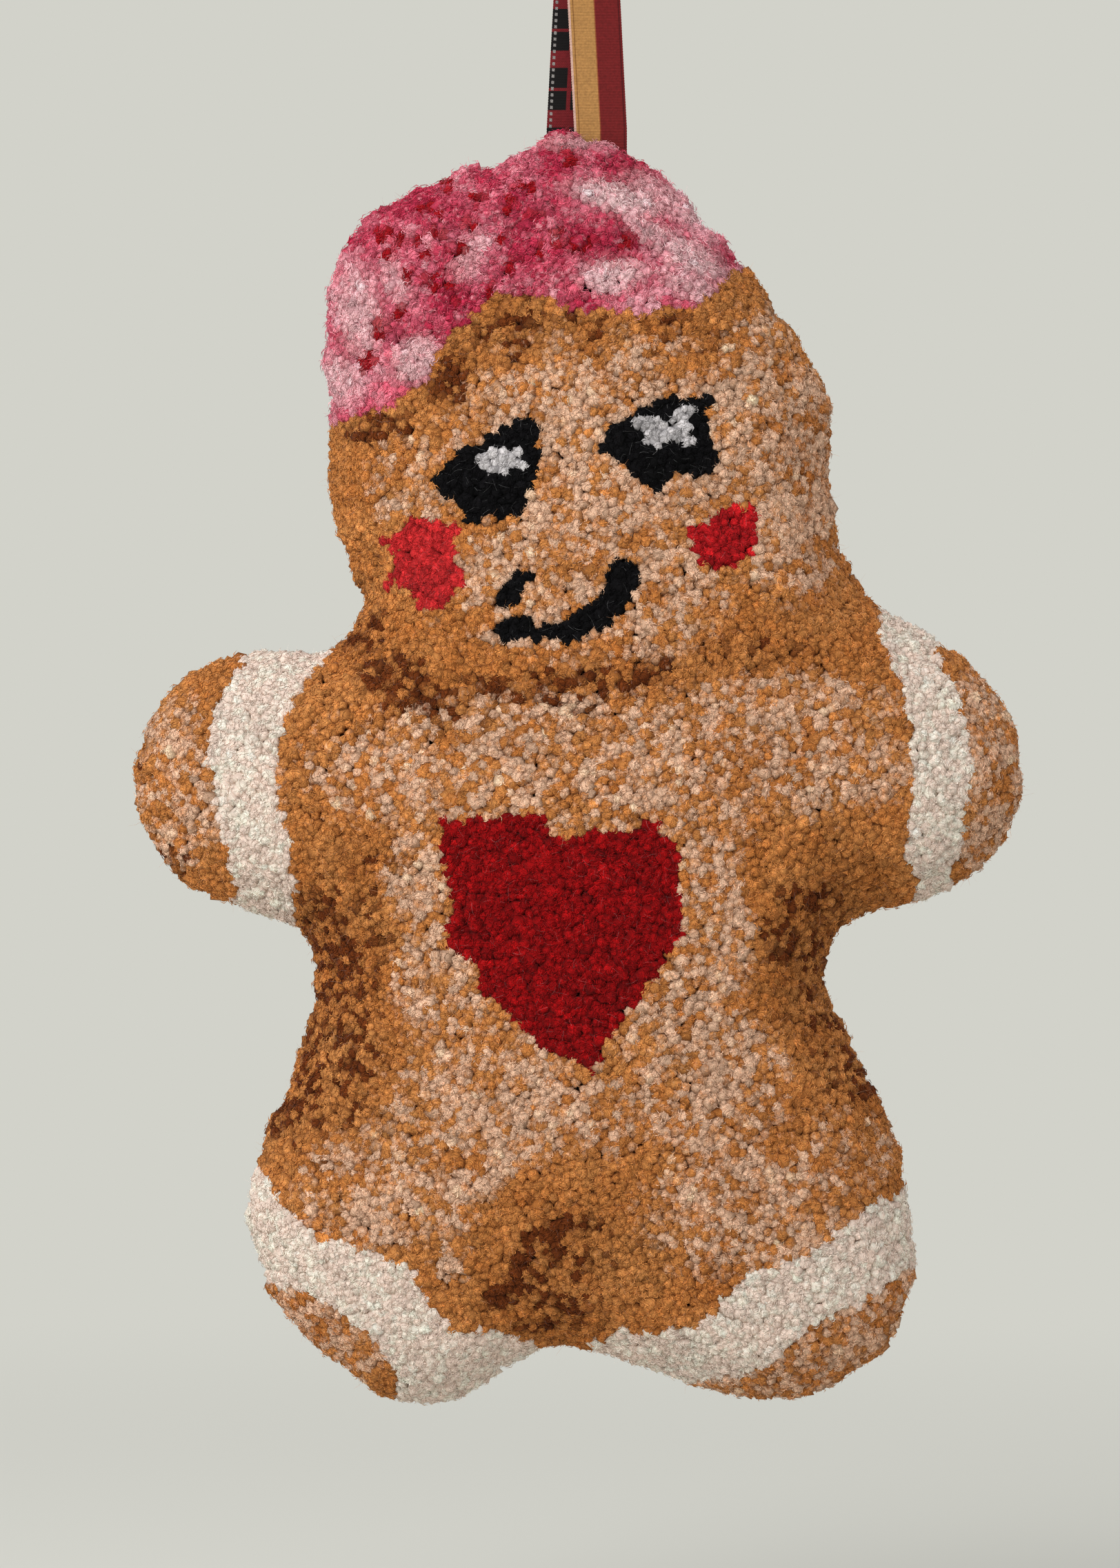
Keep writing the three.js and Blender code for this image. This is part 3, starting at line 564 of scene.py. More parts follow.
# Distance in from a closed line, negative outside it
def depthInside(ring, x, z):
    points = np.column_stack([x.ravel(), z.ravel()])
    a, b = ring, np.roll(ring, -1, 0)
    run = b - a
    square = np.sum(run * run, axis=1)
    result = np.empty(len(points))
    batch = 4000  # points at a time, to spare memory
    for start in range(0, len(points), batch):
        p = points[start:start + batch, None, :]
        t = np.clip(np.sum((p - a) * run, axis=2) / square, 0, 1)
        away = np.sqrt(np.min(np.sum((a + run * t[..., None] - p) ** 2, axis=2), axis=1))
        crosses = (a[:, 1] > p[..., 1]) != (b[:, 1] > p[..., 1])
        with np.errstate(divide="ignore", invalid="ignore"):
            where = a[:, 0] + (p[..., 1] - a[:, 1]) * run[:, 0] / run[:, 1]
        inside = np.sum(crosses & (p[..., 0] < where), axis=1) % 2 == 1
        result[start:start + batch] = np.where(inside, away, -away)
    return result.reshape(x.shape)


def blurred(field, width):
    reach = int(3 * width) + 1
    kernel = np.exp(-0.5 * (np.arange(-reach, reach + 1) / width) ** 2)
    kernel /= kernel.sum()
    padded = np.pad(field, reach, mode="edge")
    rows = np.apply_along_axis(lambda line: np.convolve(line, kernel, "valid"), 1, padded)
    return np.apply_along_axis(lambda line: np.convolve(line, kernel, "valid"), 0, rows)


class FigureMaps:
    def __init__(self):
        self.ring = seamRing()
        low = self.ring.min(0) - maps["margin"]
        high = self.ring.max(0) + maps["margin"]
        self.low = low
        self.xs = np.arange(low[0], high[0], maps["step"])
        self.zs = np.arange(low[1], high[1], maps["step"])
        gridX, gridZ = np.meshgrid(self.xs, self.zs)
        self.depth = depthInside(self.ring, gridX, gridZ)
        self.canvas = self.cast("tufting_canvas", gridX, gridZ, -1)
        self.felt = self.cast("felt_back", gridX, gridZ, 1)
        slopeZ, slopeX = np.gradient(self.depth, maps["step"])
        self.outX, self.outZ = -slopeX, -slopeZ
        self.tiltZ, self.tiltX = np.gradient(self.canvas, maps["step"])

    def cast(self, name, gridX, gridZ, side):
        tree, _ = treeOf([name])
        field = np.full(gridX.shape, maps["rest"] * side)
        for j, i in np.argwhere(self.depth > 0):
            hit = tree.ray_cast((gridX[j, i], maps["afar"] * side, gridZ[j, i]), (0, -side, 0))[0]
            if hit is not None and hit.y * side > maps["least"]:
                field[j, i] = hit.y
        return blurred(field, maps["blur"])

    def read(self, field, x, z):
        u = np.clip((x - self.low[0]) / maps["step"], 0, len(self.xs) - 1.001)
        v = np.clip((z - self.low[1]) / maps["step"], 0, len(self.zs) - 1.001)
        i, j = u.astype(int), v.astype(int)
        return between(field, i, j, u - i, v - j)


figureMaps = FigureMaps()
print("figure: maps of the canvas, the felt and the seam")

# Stuffed body: felt behind, canvas in front, blown up by a cloth simulation with the seam held
body = {
    "felt": (paint(92, 49, 27), paint(126, 74, 43)),  # dark and light
    "canvas": (paint(92, 62, 38), paint(120, 84, 54)),
    "spacing": 0.003,
    "room": 0.6,  # least distance of the inner points from the seam, in spacings
    "cloth": {
        "quality": 6, "mass": 0.02, "tension_stiffness": 12, "compression_stiffness": 12, "shear_stiffness": 6,
        "bending_stiffness": 0.3, "use_pressure": True, "uniform_pressure_force": 2.5, "shrink_min": -0.02,
    },
    "cap": 0.0016,  # most that the cloth may move a point
    "frames": 20,
    "pucker": {"height": 0.0007, "pitch": 0.0062, "edge": 0.003, "fade": 0.007, "wander": 1.3, "wanderPitch": 0.0417},
    "canvasEnd": -0.0004,  # level where the canvas ends and the felt begins
}


def feltCloth():
    material, tree, shader = newMaterial("brownFelt")
    place = addNode(tree, "ShaderNodeTexCoord")
    blotch = addNode(tree, "ShaderNodeTexNoise", {"Scale": 520, "Detail": 5, "Roughness": 0.75})
    hairs = addNode(tree, "ShaderNodeTexWave", {
        "Scale": 420, "Distortion": 30, "Detail": 4, "Detail Scale": 0.7,
    }, wave_type="BANDS", bands_direction="DIAGONAL")
    ramp = colourRamp(tree, list(zip((0.34, 0.66), body["felt"])), "LINEAR")
    tone = addNode(tree, "ShaderNodeMapRange", {"To Min": 0.76, "To Max": 1.24})
    fleck = mixColour(tree, "MULTIPLY", 1)
    bump = addNode(tree, "ShaderNodeBump", {"Strength": 0.6, "Distance": 0.00025})
    joinSockets(
        tree,
        (place, "Object", blotch, "Vector"),
        (place, "Object", hairs, "Vector"),
        (blotch, "Fac", ramp, "Fac"),
        (hairs, "Fac", tone, "Value"),
        (ramp, "Color", fleck, mixA),
        (tone, "Result", fleck, mixB),
        (fleck, mixResult, shader, "Base Color"),
        (hairs, "Fac", bump, "Height"),
        (bump, 0, shader, "Normal"),
    )
    setInputs(shader, {"Roughness": 0.95, "Specular IOR Level": 0.08, "Sheen Weight": 0.18, "Sheen Roughness": 0.7})
    return material


def canvasCloth():
    material, tree, shader = newMaterial("tuftingCanvas")
    place = addNode(tree, "ShaderNodeTexCoord")
    scaled = addNode(tree, "ShaderNodeMapping", {"Scale": (700, 700, 700)})
    dark, light = body["canvas"]
    threads = addNode(tree, "ShaderNodeTexChecker", {"Scale": 1, "Color1": (*light, 1), "Color2": (*dark, 1)})
    joinSockets(
        tree,
        (place, "Object", scaled, "Vector"),
        (scaled, 0, threads, "Vector"),
        (threads, "Color", shader, "Base Color"),
    )
    setInputs(shader, {"Roughness": 0.95})
    return material


# Both panels on one net of even triangles, joined along the seam
def pillowMesh():
    spacing = body["spacing"]
    ring = resample(figureMaps.ring, spacing)
    inner = []
    for j, z in enumerate(np.arange(figureMaps.zs[0], figureMaps.zs[-1], spacing * math.sqrt(3) / 2)):
        for x in np.arange(figureMaps.xs[0], figureMaps.xs[-1], spacing):
            inner.append((x + (j % 2) * spacing / 2, z))
    inner = np.array(inner)
    inner = inner[figureMaps.read(figureMaps.depth, *inner.T) > body["room"] * spacing]
    flat = np.vstack([ring, inner])
    edges = [(i, (i + 1) % len(ring)) for i in range(len(ring))]
    points, _, faces, _, _, _ = delaunay_2d_cdt([Vector(p) for p in flat.tolist()], edges, [], 1, 1e-7)
    points = np.array([(p.x, p.y) for p in points])
    onSeam = np.abs(depthInside(figureMaps.ring, *points.T)) < 1e-4
    verts = []
    for panel in (figureMaps.canvas, figureMaps.felt):
        level = np.where(onSeam, 0, figureMaps.read(panel, *points.T))
        verts += np.column_stack([points[:, 0], level, points[:, 1]]).tolist()
    count = len(points)
    polys = [tuple(f) for f in faces] + [tuple(v + count for v in reversed(f)) for f in faces]
    mesh = newMesh("stuffed_body", verts, polys)
    tidyFaces(mesh, merged=1e-5)
    return mesh


# Stuffing pressure on both panels, with each point's move held to the cap
def blowUp(piece):
    mesh = piece.data
    rest = meshPoints(mesh)
    held = piece.vertex_groups.new(name="seam")
    held.add(np.where(np.abs(rest[:, 1]) < 1e-5)[0].tolist(), 1.0, "REPLACE")
    cloth = piece.modifiers.new("stuffing", "CLOTH")
    for name, value in body["cloth"].items():
        setattr(cloth.settings, name, value)
    cloth.settings.vertex_group_mass = "seam"
    cloth.settings.effector_weights.gravity = 0
    cloth.collision_settings.use_collision = False
    for number in range(1, body["frames"] + 1):
        scene.frame_set(number)
    depsgraph = bpy.context.evaluated_depsgraph_get()
    move = meshPoints(piece.evaluated_get(depsgraph).data) - rest
    piece.modifiers.remove(cloth)
    piece.vertex_groups.remove(held)
    scene.frame_set(1)
    reach = np.linalg.norm(move, axis=1)
    move *= (np.minimum(reach, body["cap"]) / np.maximum(reach, 1e-9))[:, None]
    most, mean = (round(float(r) * 1000, 2) for r in (reach.max(), reach.mean()))
    print("stuffed body: cloth moved", most, "mm at most, mean", mean)
    mesh.vertices.foreach_set("co", (rest + move).ravel())


# Small gathers where the seam draws the felt in
def gatherSeam(mesh):
    co, pucker = meshPoints(mesh), body["pucker"]
    depth = figureMaps.read(figureMaps.depth, co[:, 0], co[:, 2])
    ring = resample(figureMaps.ring, maps["step"])
    along = np.array([np.argmin(np.sum((ring - p) ** 2, axis=1)) for p in co[:, [0, 2]]]) * maps["step"]
    turn = 2 * math.pi * along
    fade = np.exp(-np.maximum(depth, 0) / pucker["fade"]) * np.clip(depth / pucker["edge"], 0, 1)
    wander = pucker["wander"] * np.sin(turn / pucker["wanderPitch"])
    height = np.where(co[:, 1] > 0, pucker["height"], 0)
    co[:, 1] += height * fade * np.sin(turn / pucker["pitch"] + wander)
    mesh.vertices.foreach_set("co", co.ravel())


def makeBody():
    mesh = pillowMesh()
    piece = newPiece("stuffed_body", mesh, feltCloth(), canvasCloth())
    blowUp(piece)
    gatherSeam(mesh)
    cloths = [1 if p.center.y < body["canvasEnd"] else 0 for p in mesh.polygons]
    mesh.polygons.foreach_set("material_index", cloths)
    shadeSoft(mesh)
    finer = piece.modifiers.new("smooth", "SUBSURF")
    finer.levels = finer.render_levels = 1
    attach(piece, "figure")
    wads = [f"{part}_stuffing" for part in ("head", "left_arm", "right_arm", "left_leg", "right_leg", "body")]
    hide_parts("felt_back", "tufting_canvas", *wads)


makeBody()
print("stuffed body: felt and canvas panels")

# Seam: stitches set along the seam's line by Geometry Nodes, and the tack that holds the ribbon ends
seam = {
    "colours": (paint(96, 52, 26), paint(150, 92, 52)),  # dark and light
    "outset": 0.0008,
    "thread": 0.0004,
    "sides": 6,
    "taper": 0.6,  # of a stitch's ends
    "bow": (0.7, 1.3),  # height of a stitch's middle and fall to its ends, in thread radii
    "bowPoints": 6,
    "machine": {"pitch": 0.0026, "length": 0.0022, "slant": 0.0},
    "hand": {"pitch": 0.0030, "length": 0.0030, "slant": 1.15},
    "ribbonGap": 0.0095,
    "handEnd": 0.022,
    "gap": 0.001,  # between the hand runs and the machine run
    "tack": {"level": -0.0579, "half": 0.0025, "front": -0.0034, "back": 0.0041, "square": 0.6, "points": 72},
}


# A tube along a line, with closed ends or as a closed loop
def tubeMesh(name, line, radius, loop=False, taper=1.0):
    line, sides = np.array(line), seam["sides"]
    rows = len(line)
    ahead = unit(np.roll(line, -1, 0) - np.roll(line, 1, 0) if loop else np.gradient(line, axis=0))
    side = unit(np.cross(ahead, (0.3, 0.2, 0.93)))  # any direction that no line here follows
    other = np.cross(ahead, side)
    verts = []
    for r in range(rows):
        size = radius * (taper if not loop and r in (0, rows - 1) else 1)
        for k in range(sides):
            angle = 2 * math.pi * k / sides
            verts.append(tuple(line[r] + size * (side[r] * math.cos(angle) + other[r] * math.sin(angle))))
    faces = ringFaces(rows, sides, loop)
    if not loop:
        faces += [tuple(range(sides))[::-1], tuple(range((rows - 1) * sides, rows * sides))]
    mesh = newMesh(name, verts, faces)
    tidyFaces(mesh)
    shadeSoft(mesh)
    return mesh


def seamThread():
    material, tree, shader = newMaterial("seamThread")
    place = addNode(tree, "ShaderNodeTexCoord")
    twist = addNode(tree, "ShaderNodeTexWave", {
        "Scale": 900, "Distortion": 1.5,
    }, wave_type="BANDS", bands_direction="DIAGONAL")
    ramp = colourRamp(tree, list(zip((0.0, 1.0), seam["colours"])), "LINEAR")
    bump = addNode(tree, "ShaderNodeBump", {"Strength": 0.5, "Distance": 0.0001})
    joinSockets(
        tree,
        (place, "Object", twist, "Vector"),
        (twist, "Fac", ramp, "Fac"),
        (ramp, "Color", shader, "Base Color"),
        (twist, "Fac", bump, "Height"),
        (bump, 0, shader, "Normal"),
    )
    setInputs(shader, {"Roughness": 0.6, "Sheen Weight": 0.15})
    return material


# An empty Geometry Nodes tree with named inputs and one shape out, and the nodes at its two ends
def shapeTree(name, inputs, result):
    tree = bpy.data.node_groups.new(name, "GeometryNodeTree")
    for label, kind in inputs.items():
        tree.interface.new_socket(label, in_out="INPUT", socket_type=f"NodeSocket{kind}")
    tree.interface.new_socket(result, in_out="OUTPUT", socket_type="NodeSocketGeometry")
    return tree, addNode(tree, "NodeGroupInput"), addNode(tree, "NodeGroupOutput")


# Geometry Nodes: a stitch at each pitch along a line, turned to the line's way out and then slanted
def stitchTree():
    inputs = {"Line": "Geometry", "Stitch": "Object", "Pitch": "Float", "Slant": "Float", "Thread": "Material"}
    tree, inside, outside = shapeTree("runStitches", inputs, "Stitches")
    curve = addNode(tree, "GeometryNodeMeshToCurve")
    even = addNode(tree, "GeometryNodeResampleCurve", mode="LENGTH")
    tangent = addNode(tree, "GeometryNodeInputTangent")
    along = addNode(tree, "FunctionNodeAlignRotationToVector", axis="X")
    away = addNode(tree, "GeometryNodeInputNamedAttribute", {"Name": "away"}, data_type="FLOAT_VECTOR")
    out = addNode(tree, "FunctionNodeAlignRotationToVector", axis="Z", pivot_axis="X")
    turn = addNode(tree, "ShaderNodeCombineXYZ")
    euler = addNode(tree, "FunctionNodeEulerToRotation")
    rotate = addNode(tree, "FunctionNodeRotateRotation", rotation_space="LOCAL")
    shape = addNode(tree, "GeometryNodeObjectInfo")
    place = addNode(tree, "GeometryNodeInstanceOnPoints")
    real = addNode(tree, "GeometryNodeRealizeInstances")
    colour = addNode(tree, "GeometryNodeSetMaterial")
    joinSockets(
        tree,
        (inside, "Line", curve, "Mesh"),
        (curve, "Curve", even, "Curve"),
        (inside, "Pitch", even, "Length"),
        (even, "Curve", place, "Points"),
        (inside, "Stitch", shape, "Object"),
        (shape, "Geometry", place, "Instance"),
        (tangent, "Tangent", along, "Vector"),
        (along, "Rotation", out, "Rotation"),
        (away, "Attribute", out, "Vector"),
        (inside, "Slant", turn, "Z"),
        (turn, 0, euler, "Euler"),
        (out, "Rotation", rotate, "Rotation"),
        (euler, "Rotation", rotate, "Rotate By"),
        (rotate, "Rotation", place, "Rotation"),
        (place, "Instances", real, "Geometry"),
        (real, "Geometry", colour, "Geometry"),
        (inside, "Thread", colour, "Material"),
        (colour, "Geometry", outside, "Stitches"),
    )
    return tree


# The seam's line from the crown round to the left, between two lengths along it, with the way out at each point
def seamRun(start, end):
    ring = resample(figureMaps.ring, maps["step"])
    ring = np.roll(ring, -int(np.argmin(np.hypot(ring[:, 0], ring[:, 1] - ring[:, 1].max()))), axis=0)
    step = np.linalg.norm(ring[1] - ring[0])
    count = len(ring)
    rows = [int(round(k)) % count for k in np.arange(start / step, end / step)]
    ahead = np.roll(ring, -1, 0) - np.roll(ring, 1, 0)
    away = unit(np.column_stack([ahead[:, 1], -ahead[:, 0]]))
    points = ring[rows] + away[rows] * seam["outset"]
    return points, away[rows], count * step


def sewSeam():
    thread = seamThread()
    tree = stitchTree()
    whole = seamRun(0, 0.01)[2]
    runs = [
        ("hand_seam_left", "hand", seam["ribbonGap"], seam["handEnd"]),
        ("machine_seam", "machine", seam["handEnd"] + seam["gap"], whole - seam["handEnd"] - seam["gap"]),
        ("hand_seam_right", "hand", whole - seam["handEnd"], whole - seam["ribbonGap"]),
    ]
    rise, fall = seam["bow"]
    for name, kind, start, end in runs:
        size = seam[kind]["length"] / 2
        along = np.linspace(-1, 1, seam["bowPoints"])
        bow = [(t * size, 0, seam["thread"] * (rise - fall * t * t)) for t in along]
        sample = newPiece("stitch", tubeMesh("stitch", bow, seam["thread"], taper=seam["taper"]))
        points, away, _ = seamRun(start, end)
        steps = [(k, k + 1) for k in range(len(points) - 1)]
        mesh = newMesh(f"{name}_stitches", [(x, 0, z) for x, z in points], edges=steps)
        setPoints(mesh, "away", "FLOAT_VECTOR", np.column_stack([away[:, 0], np.zeros(len(away)), away[:, 1]]))
        piece = newPiece(f"{name}_stitches", mesh)
        growMesh(piece, tree, Stitch=sample, Pitch=seam[kind]["pitch"], Slant=seam[kind]["slant"], Thread=thread)
        bpy.data.objects.remove(sample)
        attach(piece, "figure")
        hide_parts(name)
    tack = seam["tack"]
    middle, half = (tack["front"] + tack["back"]) / 2, (tack["back"] - tack["front"]) / 2
    coil = []
    for t in np.linspace(0, 2 * math.pi, tack["points"], endpoint=False):
        through = math.copysign(abs(math.sin(t)) ** tack["square"], math.sin(t))
        coil.append((tack["half"] * math.cos(t), middle + half * through, tack["level"]))
    piece = newPiece("tack_loop", tubeMesh("tack_loop", coil, seam["thread"], loop=True), thread)
    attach(piece, "figure")
    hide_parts("ribbon_tack_stitch")


# Tuft shapes: a domed yarn end under fibres that curl over it, with its tip at the origin, in millimetres
tuftShape = {
    "sides": 5,
    # each ring's lightness is painted: painted shade low on the tuft, painted light near its tip
    "rings": [(-3.6, 0.8, 0.0), (-0.75, 1.6, 0.3), (-0.2, 0.85, 0.75)],  # level, radius and lightness
    "uneven": 0.28,  # how far the rings' points stand in or out, as a share
    "ragged": 0.12,  # and up or down
    "curls": 7,
    "curlTurn": 2.4,  # from one curl to the next, round the tuft
    "curlWidth": 0.1,
    "curlReach": (0.5, 1.0),
    "curlBow": 0.45,
    "curlFoot": -0.06,
    "curlLift": (0.05, 0.2),
    "curlTip": (-0.8, 0.6),  # lift of a curl's tip, as a share of its middle's
    # painted light and shade of the curls
    "curlLight": (0.7, 1.35),
    "spread": 0.9,
    "fall": 0.27,  # drop of the dome per square of the distance from its middle
    "level": 0.12,  # most that a curl drops, so that it lies over the next tufts
    "kinds": 8,
    "icingLong": 1.4,  # how much longer the icing's curls are
    "seed": 11,
}


# A closed spindle, pointed at both ends and bent at its middle
def addSpindle(verts, faces, foot, middle, tip, width, draw):
    heading = np.subtract(tip, foot)
    side = np.cross(heading, draw.normal(0, 1, 3))
    side /= np.linalg.norm(side)
    other = np.cross(heading, side)
    other /= np.linalg.norm(other)
    base = len(verts)
    verts.append(tuple(foot))
    for k in range(3):
        angle = 2 * math.pi * k / 3
        verts.append(tuple(middle + width * (side * math.cos(angle) + other * math.sin(angle))))
    verts.append(tuple(tip))
    for a, b in ((1, 2), (2, 3), (3, 1)):
        faces.append((base, base + b, base + a))
        faces.append((base + 4, base + a, base + b))


# A shape drawn in millimetres, with its painted light and shade at each point
def shapeMesh(name, verts, faces, tipness):
    mesh = newMesh(name, [tuple(c * 0.001 for c in v) for v in verts], faces)
    setPoints(mesh, "tipness", "FLOAT", tipness)
    tidyFaces(mesh)
    return mesh


def tuftMesh(name, seed, long=1.0):
    draw = np.random.default_rng(seed)
    sides, rings, curls = tuftShape["sides"], tuftShape["rings"], tuftShape["curls"]
    uneven, ragged = tuftShape["uneven"], tuftShape["ragged"]
    verts, tipness = [], []
    for height, radius, light in rings:
        turn = draw.uniform(0, 1)
        for k in range(sides):
            angle = 2 * math.pi * (k + turn) / sides
            size = radius * draw.uniform(1 - uneven, 1 + uneven)
            verts.append((size * math.cos(angle), size * math.sin(angle), height + draw.uniform(-ragged, ragged)))
            tipness.append(light)
    top, last = len(verts), (len(rings) - 1) * sides
    verts.append((0, 0, 0))
    tipness.append(1.0)
    faces = [tuple(range(sides))[::-1]] + ringFaces(len(rings), sides)
    faces += [(last + k, last + (k + 1) % sides, top) for k in range(sides)]
    for k in range(curls):
        around = tuftShape["curlTurn"] * k + draw.uniform(-0.5, 0.5)
        away = tuftShape["spread"] * math.sqrt((k + 0.4) / curls)
        heading = draw.uniform(0, 2 * math.pi)
        reach = draw.uniform(*tuftShape["curlReach"]) * long
        run = reach * np.array([math.cos(heading), math.sin(heading)])
        bent = tuftShape["curlBow"] * reach * draw.choice([-1, 1])
        bow = bent * np.array([-math.sin(heading), math.cos(heading)])
        centre = away * np.array([math.cos(around), math.sin(around)])
        lift = draw.uniform(*tuftShape["curlLift"]) * long
        tip = lift * draw.uniform(*tuftShape["curlTip"])
        line = []
        for flat, rise in ((centre - run, tuftShape["curlFoot"]), (centre + bow, lift), (centre + run, tip)):
            line.append(np.array([*flat, rise - min(tuftShape["fall"] * float(flat @ flat), tuftShape["level"])]))
        addSpindle(verts, faces, *line, tuftShape["curlWidth"], draw)
        # each curl's painted light, with painted shade at its foot
        light = draw.uniform(*tuftShape["curlLight"])
        tipness += [0.8 * light] + [light] * 4  # darker at the curl's foot
    mesh = shapeMesh(name, verts, faces, tipness)
    shadeSoft(mesh)
    return mesh


# Loose hairs that stand out of the pile, bowed over to one side, in millimetres
hair = {
    "count": 9000,
    "icing": 3.0,  # times as many on the icing
    "edge": (0.004, 3.0),  # within this depth of the edge, in metres, times as many
    "rings": 4,
    "sides": 3,
    "width": 0.034,
    "taper": 0.75,
    "foot": -0.8,
    "rise": 3.2,
    "bow": (0.5, 1.3),
    "lean": 2.2,  # sideways, for a bow of one
    "sway": 0.35,
    # painted light on the loose hairs
    "light": 1.1,
    "size": (0.4, 1.0),
    "stray": 0.9,  # of the heading
    "pale": (0.85, 0.12),  # share of the tuft's colour and what is added
    "kinds": 6,
    "seed": 60,
}


def hairMesh(name, seed):
    bow = np.random.default_rng(seed).uniform(*hair["bow"])
    rings, sides = hair["rings"], hair["sides"]
    verts = []
    for r in range(rings):
        t = r / (rings - 1)
        width = hair["width"] * (1 - hair["taper"] * t)
        x, y = bow * hair["lean"] * t * t, hair["sway"] * math.sin(3 * t * bow)
        z = hair["foot"] + hair["rise"] * t - bow * t * t
        for k in range(sides):
            angle = 2 * math.pi * k / sides
            verts.append((x + width * math.cos(angle), y + width * math.sin(angle), z))
    ends = [tuple(range(sides))[::-1], tuple(range((rings - 1) * sides, rings * sides))]
    faces = ends[:1] + ringFaces(rings, sides) + ends[1:]
    return shapeMesh(name, verts, faces, [hair["light"]] * len(verts))


def shapeShelf(name, meshes):
    shelf = bpy.data.collections.new(name)
    scene.collection.children.link(shelf)
    for mesh in meshes:
        shelf.objects.link(bpy.data.objects.new(mesh.name, mesh))
    return shelf


def clearShelf(shelf):
    for shape in list(shelf.objects):
        bpy.data.objects.remove(shape)
    bpy.data.collections.remove(shelf)


# Geometry Nodes: a shape from the shelf on each point, turned along the point's lean
def plantingTree():
    inputs = {
        "Points": "Geometry", "Shapes": "Collection", "Girth": "Float", "Length": "Float", "Seed": "Int",
        "Yarn": "Material",
    }
    tree, inside, outside = shapeTree("plantTufts", inputs, "Planted")
    shelf = addNode(tree, "GeometryNodeCollectionInfo", {"Separate Children": True, "Reset Children": True})
    kind = addNode(tree, "GeometryNodeInputNamedAttribute", {"Name": "kind"}, data_type="INT")
    lean = addNode(tree, "GeometryNodeInputNamedAttribute", {"Name": "lean"}, data_type="FLOAT_VECTOR")
    stout = addNode(tree, "GeometryNodeInputNamedAttribute", {"Name": "stout"}, data_type="FLOAT_VECTOR")
    align = addNode(tree, "FunctionNodeAlignRotationToVector", axis="Z")
    spin = addNode(tree, "FunctionNodeRandomValue", {"Max": 2 * math.pi}, data_type="FLOAT")
    turn = addNode(tree, "ShaderNodeCombineXYZ")
    euler = addNode(tree, "FunctionNodeEulerToRotation")
    rotate = addNode(tree, "FunctionNodeRotateRotation", rotation_space="LOCAL")
    size = addNode(tree, "ShaderNodeCombineXYZ")
    scale = addNode(tree, "ShaderNodeVectorMath", operation="MULTIPLY")
    plant = addNode(tree, "GeometryNodeInstanceOnPoints", {"Pick Instance": True})
    real = addNode(tree, "GeometryNodeRealizeInstances")
    yarn = addNode(tree, "GeometryNodeSetMaterial")
    joinSockets(
        tree,
        (inside, "Points", plant, "Points"),
        (inside, "Shapes", shelf, "Collection"),
        (shelf, 0, plant, "Instance"),
        (kind, "Attribute", plant, "Instance Index"),
        (lean, "Attribute", align, "Vector"),
        (inside, "Seed", spin, "Seed"),
        (spin, "Value", turn, "Z"),
        (turn, 0, euler, "Euler"),
        (align, "Rotation", rotate, "Rotation"),
        (euler, "Rotation", rotate, "Rotate By"),
        (rotate, "Rotation", plant, "Rotation"),
        (inside, "Girth", size, "X"),
        (inside, "Girth", size, "Y"),
        (inside, "Length", size, "Z"),
        (size, 0, scale, 0),
        (stout, "Attribute", scale, 1),
        (scale, "Vector", plant, "Scale"),
        (plant, "Instances", real, "Geometry"),
        (real, "Geometry", yarn, "Geometry"),
        (inside, "Yarn", yarn, "Material"),
        (yarn, "Geometry", outside, "Planted"),
    )
    return tree


# A modifier's named inputs, set by their sockets' identifiers, then its result as a plain mesh
def growMesh(piece, tree, **inputs):
    modifier = piece.modifiers.new("planting", "NODES")
    modifier.node_group = tree
    for item in tree.interface.items_tree:
        if item.in_out == "INPUT" and item.name in inputs:
            modifier[item.identifier] = inputs[item.name]
    depsgraph = bpy.context.evaluated_depsgraph_get()
    mesh = bpy.data.meshes.new_from_object(piece.evaluated_get(depsgraph), preserve_all_data_layers=True,
                                           depsgraph=depsgraph)
    piece.modifiers.remove(modifier)
    old = piece.data
    piece.data = mesh
    mesh.name = piece.name
    bpy.data.meshes.remove(old)
    for spare in ("kind", "lean", "stout", "away"):
        if spare in mesh.attributes:
            mesh.attributes.remove(mesh.attributes[spare])
